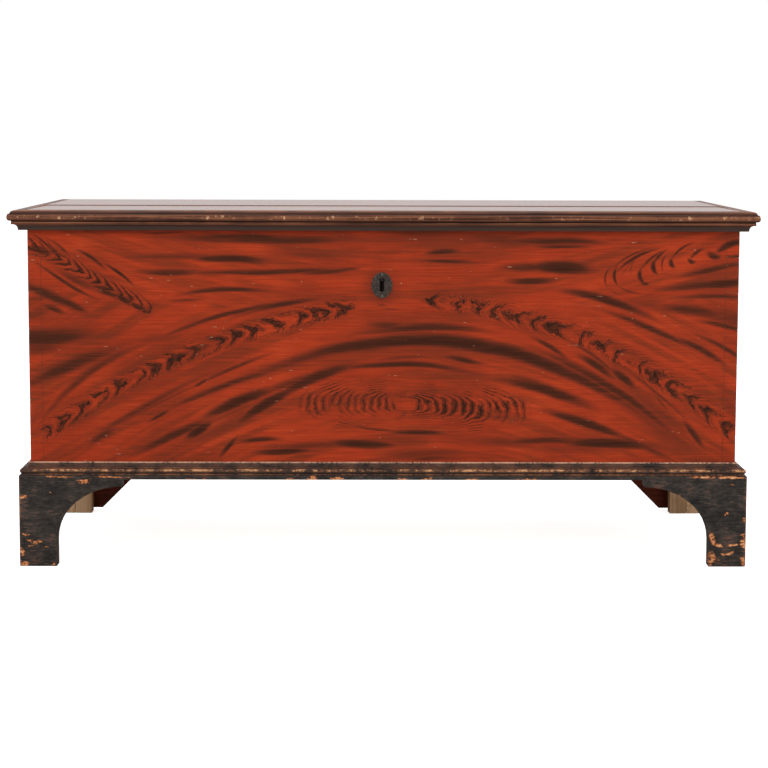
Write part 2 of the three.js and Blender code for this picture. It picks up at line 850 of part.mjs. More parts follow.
// A ring around the drill pin, open below where the key goes in
function wardOutline() {
  const from = -Math.PI / 2 + ward_half_opening;
  const to = 3 * Math.PI / 2 - ward_half_opening;
  const shape = new THREE.Shape();
  shape.absarc(lock_x, keyhole_height, ward_radius, from, to, false);
  shape.absarc(lock_x, keyhole_height, ward_radius - ward_wall, to, from, true);
  return shape;
}

function buildLock() {
  add(body, 'lock_plate', lockPlateForm(), 'iron');
  add(body, 'lock_cap', lockCapForm(), 'iron');
  add(body, 'lock_bolt', frontSlab(boltOutline(), bolt_front, bolt_thickness), 'iron');
  const spring_depth = plate_front - fit_gap - bolt_front;
  add(body, 'lock_spring', frontSlab(springOutline(), bolt_front, spring_depth), 'iron');
  const pin = rod(drill_pin_radius, drill_pin_length, 12).rotateZ(Math.PI / 2);
  const pin_middle = plate_front - fit_gap - drill_pin_length / 2;
  add(body, 'lock_drill_pin', pin, 'iron', [lock_x, pin_middle, keyhole_height]);
  const ward_y = plate_front - fit_gap - ward_height;
  add(body, 'lock_ward', frontSlab(wardOutline(), ward_y, ward_height, 8), 'iron');
  lockScrewPlaces().forEach(({ selvage, plate }, i) => {
    addScrew(body, `lock_selvage_screw_${i + 1}`, selvage);
    addScrew(body, `lock_plate_screw_${i + 1}`, plate, -Math.PI / 2);
  });
}

// Catch plate in the lid, over the lock

const catch_screw_x = (catch_half_width + loop_offset + loop_thickness / 2) / 2;

function catchPlace(x) {
  return [lock_x + x, inner_front - selvage_depth / 2, 0];
}

function catchForm() {
  const y = [inner_front - selvage_depth, inner_front];
  const parts = [box([lock_x - catch_half_width, y[0], 0], [lock_x + catch_half_width, y[1], catch_plate])];
  const cuts = [-catch_screw_x, catch_screw_x].map((x) => screwHole(catchPlace(x), Math.PI));
  for (const x of loopPlaces()) {
    const half = loop_thickness / 2;
    parts.push(box([x - half, loop_front, -loop_drop], [x + half, loop_back, catch_plate]));
    const low = -loop_drop + loop_wall;
    const hole_low = [x - half - overrun, loop_front + loop_wall, low];
    const hole_high = [x + half + overrun, loop_back - loop_wall, low + loop_hole_height];
    cuts.push(box(hole_low, hole_high));
  }
  return cut(join(parts), cuts);
}

function catchCuts() {
  const half = catch_half_width + fit_gap;
  const y = [inner_front - selvage_depth - fit_gap, inner_front + fit_gap];
  return [
    box([lock_x - half, y[0], -overrun], [lock_x + half, y[1], catch_plate + fit_gap]),
    ...[-catch_screw_x, catch_screw_x].map((x) => screwHole(catchPlace(x), Math.PI)),
  ];
}

function buildCatch() {
  add(lid, 'catch_plate', catchForm(), 'iron');
  [-catch_screw_x, catch_screw_x].forEach((x, i) => {
    addScrew(lid, `catch_screw_${i + 1}`, catchPlace(x), Math.PI);
  });
}

// Lid

function buildLid() {
  const seam = lid_board_front + lid_front_board;
  const seam_face = seam - fit_gap;
  const frontBoard = box([-lid_board_half, lid_board_front, 0], [lid_board_half, seam_face, lid_board]);
  add(lid, 'lid_board_front', cut(frontBoard, catchCuts()), 'brown_paint');
  const rearBoard = box([-lid_board_half, seam, 0], [lid_board_half, lid_back, lid_board]);
  add(lid, 'lid_board_rear', cut(rearBoard, hingeCuts(true)), 'brown_paint');
  buildMouldings(lid, 'lid_moulding', lidMouldingSection(), lid_overhang, lid_back, 'brown_paint');
}

buildBase();
buildBaseMouldings();
buildCase();
buildBottom();
buildTill();
buildEscutcheon();
buildLock();
buildLid();
buildHinges();
buildCatch();

export default chest;
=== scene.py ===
"""Looks of a grain-painted blanket chest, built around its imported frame.

Metres, +Z up, the front faces -Y. Tables of brush strokes and mouldings are in millimetres.
"""

import json
import logging
import math
import random
from dataclasses import dataclass, replace
from enum import Enum

import bmesh
import bpy
from mathutils import Matrix, Vector, noise

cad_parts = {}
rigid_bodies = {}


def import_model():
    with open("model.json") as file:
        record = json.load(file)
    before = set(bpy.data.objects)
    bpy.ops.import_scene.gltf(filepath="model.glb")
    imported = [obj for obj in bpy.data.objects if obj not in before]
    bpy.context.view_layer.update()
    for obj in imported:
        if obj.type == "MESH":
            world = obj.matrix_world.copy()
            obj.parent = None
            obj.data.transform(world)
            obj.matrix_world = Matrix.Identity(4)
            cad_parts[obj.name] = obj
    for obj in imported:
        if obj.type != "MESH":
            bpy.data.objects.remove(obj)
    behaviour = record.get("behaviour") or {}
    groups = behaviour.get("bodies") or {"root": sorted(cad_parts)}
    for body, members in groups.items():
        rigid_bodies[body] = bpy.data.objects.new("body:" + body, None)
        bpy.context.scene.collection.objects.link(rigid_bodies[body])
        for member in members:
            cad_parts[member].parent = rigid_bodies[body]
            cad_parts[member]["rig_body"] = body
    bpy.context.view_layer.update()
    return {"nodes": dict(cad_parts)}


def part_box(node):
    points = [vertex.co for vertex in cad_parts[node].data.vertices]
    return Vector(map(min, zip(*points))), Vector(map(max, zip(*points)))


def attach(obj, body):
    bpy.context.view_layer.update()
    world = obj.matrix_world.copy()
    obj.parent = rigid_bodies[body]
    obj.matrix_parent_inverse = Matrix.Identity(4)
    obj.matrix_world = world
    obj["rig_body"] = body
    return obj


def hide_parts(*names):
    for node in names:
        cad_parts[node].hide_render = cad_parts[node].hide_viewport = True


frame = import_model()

MM = 0.001
TO_MM = 1000.0
PAINT_END = 0.58  # share of a stroke's width at which its paint has thinned out to nothing
BEND = 8.0  # how far the hand's sway moves the lines of a figure, in millimetres
PINE_DIRT = "6B4C31"
WHITE = (1.0, 1.0, 1.0, 1.0)
MERGE = 0.01 * MM  # corners closer than this are one corner
FLAT_DEGREES = 0.5  # faces that turn by less are one face
LOG = logging.getLogger("chest")
Colour = bpy.types.NodeSocket | tuple[float, ...]


class Slot(Enum):
    """Material slots of the record."""

    RED = "red_paint"
    BLACK = "black_paint"
    BROWN = "brown_paint"
    PINE = "bare_pine"
    IRON = "iron"


class Body(Enum):
    """Bodies that pieces ride on."""

    CHEST = "chest"
    LID = "lid"
    BOLT = "bolt"


class Axis(Enum):
    """Axes that a board's grain or a painted face can follow."""

    X = 0
    Y = 1
    Z = 2


def tint(code: str) -> tuple[float, float, float, float]:
    """Turns a web colour into a linear one.

    Args:
        code: Six hexadecimal digits.

    Returns:
        Red, green, blue and an alpha of one.
    """
    shares = [int(code[i : i + 2], 16) / 255 for i in (0, 2, 4)]
    linear = [s / 12.92 if s <= 0.04045 else ((s + 0.055) / 1.055) ** 2.4 for s in shares]
    return (*linear, 1.0)


class Wire:
    """A number socket. Arithmetic on it adds Math nodes to its tree."""

    def __init__(self, sheet: "Nodes", socket: bpy.types.NodeSocket) -> None:
        """Keeps the socket and the sheet that it is on."""
        self.sheet = sheet
        self.socket = socket

    def math(self, operation: str, *values: "Wire | float") -> "Wire":
        """Adds one Math node.

        Args:
            operation: The node's operation.
            values: Its inputs, in order.

        Returns:
            The node's result.
        """
        inputs = dict(enumerate(values))
        return self.sheet.wire("ShaderNodeMath", {"operation": operation}, inputs)

    def __add__(self, other: "Wire | float") -> "Wire":
        """Adds."""
        return self.math("ADD", self, other)

    def __radd__(self, other: float) -> "Wire":
        """Adds to a number."""
        return self.math("ADD", other, self)

    def __sub__(self, other: "Wire | float") -> "Wire":
        """Subtracts."""
        return self.math("SUBTRACT", self, other)

    def __rsub__(self, other: float) -> "Wire":
        """Subtracts from a number."""
        return self.math("SUBTRACT", other, self)

    def __mul__(self, other: "Wire | float") -> "Wire":
        """Multiplies."""
        return self.math("MULTIPLY", self, other)

    def __rmul__(self, other: float) -> "Wire":
        """Multiplies a number."""
        return self.math("MULTIPLY", other, self)

    def __truediv__(self, other: "Wire | float") -> "Wire":
        """Divides."""
        return self.math("DIVIDE", self, other)

    def __pow__(self, other: float) -> "Wire":
        """Raises to a power."""
        return self.math("POWER", self, other)

    def __abs__(self) -> "Wire":
        """Drops the sign."""
        return self.math("ABSOLUTE", self)

    def least(self, other: "Wire | float") -> "Wire":
        """Takes the smaller value."""
        return self.math("MINIMUM", self, other)

    def most(self, other: "Wire | float") -> "Wire":
        """Takes the larger value."""
        return self.math("MAXIMUM", self, other)

    def times(self, factor: "Wire | float", more: "Wire | float") -> "Wire":
        """Multiplies by a factor and adds more."""
        return self.math("MULTIPLY_ADD", self, factor, more)

    def blank(self) -> "Wire":
        """Gives zero everywhere."""
        return self * 0.0

    def zigzag(self) -> "Wire":
        """Rises from 0 to 1 and falls back over each unit."""
        return self.math("PINGPONG", self, 0.5) * 2.0

    def rise(self, low: float, high: float, top: float = 1.0) -> "Wire":
        """Eases from 0 at one value to its top at another.

        Args:
            low: Where the result is 0.
            high: Where the result is at its top. It may be below low.
            top: The largest result.

        Returns:
            The eased value, held between 0 and top.
        """
        inputs = {"Value": self, "From Min": low, "From Max": high, "To Max": top}
        settings = {"interpolation_type": "SMOOTHSTEP", "clamp": False}
        return self.sheet.wire("ShaderNodeMapRange", settings, inputs)


class Nodes:
    """A tree of shader nodes."""

    def __init__(self, tree: bpy.types.NodeTree) -> None:
        """Keeps the tree."""
        self.tree = tree

    def node(self, kind: str, settings: dict, inputs: dict) -> bpy.types.Node:
        """Adds one node.

        Args:
            kind: The node's type.
            settings: Its properties, and "stops" for a ramp's colours by place.
            inputs: Values or links for its sockets, by name or number.

        Returns:
            The node.
        """
        made = self.tree.nodes.new(kind)
        stops = settings.get("stops")
        for key, value in settings.items():
            if key != "stops":
                setattr(made, key, value)
        if stops:
            elements = made.color_ramp.elements
            while len(elements) < len(stops):
                elements.new(0.5)
            for element, (place, colour) in zip(elements, stops):
                element.position = place
                element.color = colour
        for key, value in inputs.items():
            socket = made.inputs[key]
            if isinstance(value, Wire):
                self.tree.links.new(value.socket, socket)
            elif isinstance(value, bpy.types.NodeSocket):
                self.tree.links.new(value, socket)
            else:
                socket.default_value = value
        return made

    def wire(self, kind: str, settings: dict, inputs: dict, output: int = 0) -> Wire:
        """Adds one node and takes one of its outputs as a number."""
        return Wire(self, self.node(kind, settings, inputs).outputs[output])


class Macro(Nodes):
    """A node group that takes numbers and gives one number."""

    def __init__(self, name: str, *names: str) -> None:
        """Starts a group with inputs of these names.

        Args:
            name: The group's name.
            names: Its inputs, in order.
        """
        super().__init__(bpy.data.node_groups.new(name, "ShaderNodeTree"))
        for key in names:
            self.tree.interface.new_socket(key, in_out="INPUT", socket_type="NodeSocketFloat")
        self.tree.interface.new_socket("Result", in_out="OUTPUT", socket_type="NodeSocketFloat")
        source = self.node("NodeGroupInput", {}, {})
        self.inputs = [Wire(self, source.outputs[key]) for key in names]

    def close(self, result: Wire) -> None:
        """Sets the group's result."""
        self.node("NodeGroupOutput", {}, {"Result": result})

    def apply(self, sheet: Nodes, *values: Wire | float) -> Wire:
        """Adds the group to a tree with these values, in the order of its inputs."""
        return sheet.wire("ShaderNodeGroup", {"node_tree": self.tree}, dict(enumerate(values)))


class Sheet(Nodes):
    """The nodes of one material."""

    def __init__(self, name: str) -> None:
        """Starts an empty material with its position split into X, Y and Z.

        Args:
            name: The material's name.
        """
        self.material = bpy.data.materials.new(name)
        self.material.use_nodes = True
        super().__init__(self.material.node_tree)
        self.tree.nodes.clear()
        self.place = self.node("ShaderNodeTexCoord", {}, {}).outputs["Object"]
        split = self.node("ShaderNodeSeparateXYZ", {}, {"Vector": self.place})
        self.axes = [Wire(self, socket) for socket in split.outputs]

    def vector(self, x: Wire | float, y: Wire | float, z: Wire | float) -> bpy.types.NodeSocket:
        """Joins three numbers into a vector."""
        return self.node("ShaderNodeCombineXYZ", {}, {0: x, 1: y, 2: z}).outputs[0]

    def noise(
        self, vector: bpy.types.NodeSocket, scale: float, detail: float = 3.0, rough: float = 0.55
    ) -> Wire:
        """Adds a noise texture.

        Args:
            vector: Where it is read.
            scale: Its features per metre, at the vector's own scale.
            detail: Octaves.
            rough: How much the finer octaves count.

        Returns:
            Noise about one half.
        """
        inputs = {"Vector": vector, "Scale": scale, "Detail": detail, "Roughness": rough}
        return self.wire("ShaderNodeTexNoise", {}, inputs)

    def stretched(
        self, shares: tuple[float, float, float], detail: float = 3.0, rough: float = 0.55
    ) -> Wire:
        """Adds noise whose scale differs by axis.

        Args:
            shares: Features per metre along X, Y and Z.
            detail: Octaves.
            rough: How much the finer octaves count.

        Returns:
            Noise about one half.
        """
        mapped = self.node("ShaderNodeMapping", {}, {"Vector": self.place, "Scale": shares})
        return self.noise(mapped.outputs[0], 1.0, detail, rough)

    def grained(
        self, grain: Axis, across: float, up: float, along: float, detail: float, rough: float
    ) -> Wire:
        """Adds noise that is drawn out along a board's grain.

        Args:
            grain: The axis that the grain follows.
            across: Features per metre along X and Y.
            up: Features per metre along Z.
            along: Features per metre along the grain.
            detail: Octaves.
            rough: How much the finer octaves count.

        Returns:
            Noise about one half.
        """
        shares = [across, across, up]
        shares[grain.value] = along
        return self.stretched(tuple(shares), detail, rough)

    def specks(self, scale: float, size: float, share: float) -> Wire:
        """Scatters small marks.

        Args:
            scale: Cells per metre.
            size: A mark's radius as a share of its cell.
            share: How many of the cells have a mark, up to 1.

        Returns:
            One on a mark and zero beside it.
        """
        cell = self.node("ShaderNodeTexVoronoi", {}, {"Vector": self.place, "Scale": scale})
        pick = self.wire("ShaderNodeSeparateColor", {}, {0: cell.outputs["Color"]})
        near = Wire(self, cell.outputs["Distance"]).rise(size, size * 0.6)
        return near * pick.rise(1 - share, 1.05 - share)

    def ramp(self, value: Wire, *stops: tuple[float, str]) -> bpy.types.NodeSocket:
        """Turns a number into a colour by stops, each a place and a web colour."""
        colours = [(place, tint(code)) for place, code in stops]
        return self.node("ShaderNodeValToRGB", {"stops": colours}, {0: value}).outputs[0]

    def mix(self, share: Wire, first: Colour, second: Colour) -> bpy.types.NodeSocket:
        """Mixes two colours.

        Args:
            share: How much of the second colour shows.
            first: A colour or a link.
            second: A colour or a link.

        Returns:
            The mixed colour.
        """
        inputs = {0: share, 6: first, 7: second}
        return self.node("ShaderNodeMix", {"data_type": "RGBA"}, inputs).outputs[2]

    def edge(self, reach: float) -> Wire:
        """Finds sharp edges.

        Args:
            reach: How far from an edge its effect goes, in metres.

        Returns:
            Zero on open surfaces, rising towards one at an edge.
        """
        rounded = self.node("ShaderNodeBevel", {"samples": 6}, {"Radius": reach}).outputs[0]
        flat = self.node("ShaderNodeNewGeometry", {}, {}).outputs["Normal"]
        inputs = {0: rounded, 1: flat}
        lined = self.node("ShaderNodeVectorMath", {"operation": "DOT_PRODUCT"}, inputs)
        return 1.0 - Wire(self, lined.outputs["Value"])

    def finish(
        self,
        colour: Colour,
        rough: Wire | float,
        height: Wire,
        depth: float,
        metal: Wire | float = 0.0,
        coat: float = 0.0,
        gloss: float = 0.06,
    ) -> bpy.types.Material:
        """Adds the shader and closes the material.

        Args:
            colour: Base colour.
            rough: Roughness.
            height: Relief, about 0 to 1.
            depth: What one unit of relief is, in metres.
            metal: Metallic share.
            coat: Weight of a thin varnish.
            gloss: How much the surface mirrors. One half is usual for a clean one.

        Returns:
            The material.
        """
        bump = self.node("ShaderNodeBump", {}, {"Distance": depth, "Height": height}).outputs[0]
        inputs = {
            "Base Color": colour,
            "Roughness": rough,
            "Metallic": metal,
            "Normal": bump,
            "Coat Weight": coat,
            "Coat Roughness": 0.14,
            "Specular IOR Level": gloss,
        }
        shader = self.node("ShaderNodeBsdfPrincipled", {}, inputs).outputs[0]
        self.node("ShaderNodeOutputMaterial", {}, {"Surface": shader})
        return self.material


@dataclass(frozen=True)
class Stroke:
    """One stroke of a loaded brush, in millimetres on the painted face.

    It runs from (x0, z0) to (x1, z1), rises off that line by rise at its middle, is width wide
    there, and is dark by up to depth.
    """

    x0: float
    z0: float
    x1: float
    z1: float
    rise: float
    width: float
    depth: float

    @property
    def length(self) -> float:
        """How long it is from end to end."""
        return math.hypot(self.x1 - self.x0, self.z1 - self.z0)

    @property
    def half(self) -> float:
        """How far from its centre line its paint reaches."""
        return self.width * PAINT_END

    def reaches(self, low: float, high: float, margin: float) -> bool:
        """Tells whether it comes within margin of a band between two places on the face."""
        bow = abs(self.rise) + self.width + margin
        return self.x0 - bow < high and self.x1 + bow > low

    def frame(self) -> tuple[float, ...]:
        """Gives the factors that turn a place on the face into the stroke's own coordinates."""
        start = Vector((self.x0, self.z0))
        run = Vector((self.x1, self.z1)) - start
        way = run / run.length_squared
        aside = Vector((-run.y, run.x)) / (run.length * self.half)
        shift = -self.rise / self.half
        return way.x, way.y, -start.dot(way), aside.x, aside.y, -start.dot(aside), shift


FRAME = ("Across", "Up", "Way X", "Way Z", "Start", "Aside X", "Aside Z", "Foot", "Shift")


def localise(wires: list[Wire]) -> tuple[Wire, Wire, Wire]:
    """Finds a stroke's own coordinates.

    Args:
        wires: Place on the face and the stroke's factors, in the order of FRAME.

    Returns:
        Share of the way along, a bow that is 1 at the middle and 0 at the ends, and the
        distance off the centre line in half widths.
    """
    across, up, way_x, way_z, start, aside_x, aside_z, foot, shift = wires
    along = up.times(way_z, across.times(way_x, start))
    bow = along * 4.0 * (1.0 - along)
    off = up.times(aside_z, across.times(aside_x, foot))
    return along, bow, bow.times(shift, off)


def stroke_macro() -> Macro:
    """Makes the group that draws a stroke over what is there already."""
    own = ("Depth", "Fringe", "Below")
    macro = Macro("stroke", *FRAME, *own)
    depth, fringe, below = macro.inputs[-len(own) :]
    _, bow, off = localise(macro.inputs[: -len(own)])
    comb = fringe.times(2.4, off * 2.3).math("PINGPONG", 0.5)
    level = comb.times(0.7, bow - off * off) + fringe * 0.9
    shade = off.times(-0.22, 0.86) * comb.times(0.55, 0.84)
    macro.close(below.most(level.rise(-0.1, 1.85) * shade * depth))
    return macro


@dataclass(frozen=True)
class Plume:
    """A row of dark knots with combed curls, in millimetres.

    The knots lie pitch apart on the axis and reach half its width to each side. Hair lines reach
    spread to both sides and trail by lean.
    """

    axis: Stroke
    pitch: float
    spread: float
    lean: float

    def values(self) -> tuple[float, ...]:
        """Gives the values that the group takes after the axis's own."""
        reach = (self.axis.half / self.spread) ** 2
        return self.axis.length / self.pitch, self.lean / self.pitch * reach, reach, self.axis.depth


def plume_macro() -> Macro:
    """Makes the group that draws a plume over what is there already."""
    own = ("Knots", "Lean", "Reach", "Depth", "Drift", "Shake", "Curl", "Below")
    macro = Macro("plume", *FRAME, *own)
    knots, lean, reach, depth, drift, shake, curl, below = macro.inputs[-len(own) :]
    along, bow, off = localise(macro.inputs[: -len(own)])
    inner = off * off
    wander = drift.times(1.7, along * knots)
    phase = inner.times(lean, abs(off).times(lean * 0.9, wander))
    knot = shake.times(0.7, phase).zigzag()
    ripple = shake.times(3.6, phase * 3.0 + off * 0.6).zigzag()
    comb = curl.times(0.5, ripple).rise(0.25, 0.95)
    weight = drift.times(1.1, curl.times(0.9, knot * 1.2 - inner * 0.4))
    blots = weight.rise(0.28, 1.0) * comb.times(0.4, 0.62)
    squiggles = comb * comb * inner.rise(3.4, 0.8) * knot.rise(0.0, 0.6) * 0.62
    lines = curl.times(0.25, (shake.times(0.2, phase) * 3.0).zigzag()).rise(0.5, 1.0)
    hairs = lines * (inner * reach).rise(1.0, 0.1) * drift.rise(-0.2, 0.08) * 0.46
    macro.close(below.most(blots.most(squiggles).most(hairs) * bow.rise(0.0, 0.12) * depth))
    return macro


@dataclass(frozen=True)
class Eye:
    """Nested ovals about (x, z) whose flanks are combed into dark wavering bars, in millimetres.

    There are so many rings to each side. The right flank droops, and the bars are band high.
    """

    x: float
    z: float
    left: float
    right: float
    height: float
    rings: float
    droop: float
    band: float
    depth: float

    def draw(self, across: Wire, up: Wire, drift: Wire, shake: Wire, curl: Wire) -> Wire:
        """Draws the figure.

        Args:
            across: Position along the painted face.
            up: Height on it.
            drift: Slow noise about zero that fades parts of it.
            shake: Noise about zero that makes the bars waver.
            curl: Finer noise about zero that frays them.

        Returns:
            How dark it is.
        """
        dx = across - self.x
        dz = dx.most(0.0).times(self.droop, up - self.z)
        wide = dx.most(0.0) / self.right - dx.least(0.0) / self.left
        tall = (abs(dz) - self.band * 0.35).most(0.0) / self.height
        radius = (wide * wide + tall * tall) ** 0.5
        phase = shake.times(0.8, drift.times(1.0, radius * self.rings))
        comb = curl.times(0.6, phase.zigzag())
        fine = curl.times(0.6, (phase * 3.0).zigzag()).rise(0.1, 0.8)
        middle = shake.times(1.4, abs(dz) / self.band)
        bars = comb.rise(0.0, 0.75) * fine.times(0.45, 0.55) * middle.rise(1.3, 0.5)
        bars = bars * dx.rise(-90.0, 20.0).times(0.3, 0.62) * drift.rise(-0.35, 0.05)
        flat = wide.rise(0.0, 0.35).times(0.6, 0.4) * tall.rise(1.0, 0.55)
        lines = comb.rise(0.45, 1.0) * drift.rise(-0.1, 0.14) * flat * 0.7
        return bars.most(lines) * radius.rise(1.04, 0.9) * radius.rise(0.03, 0.12) * self.depth


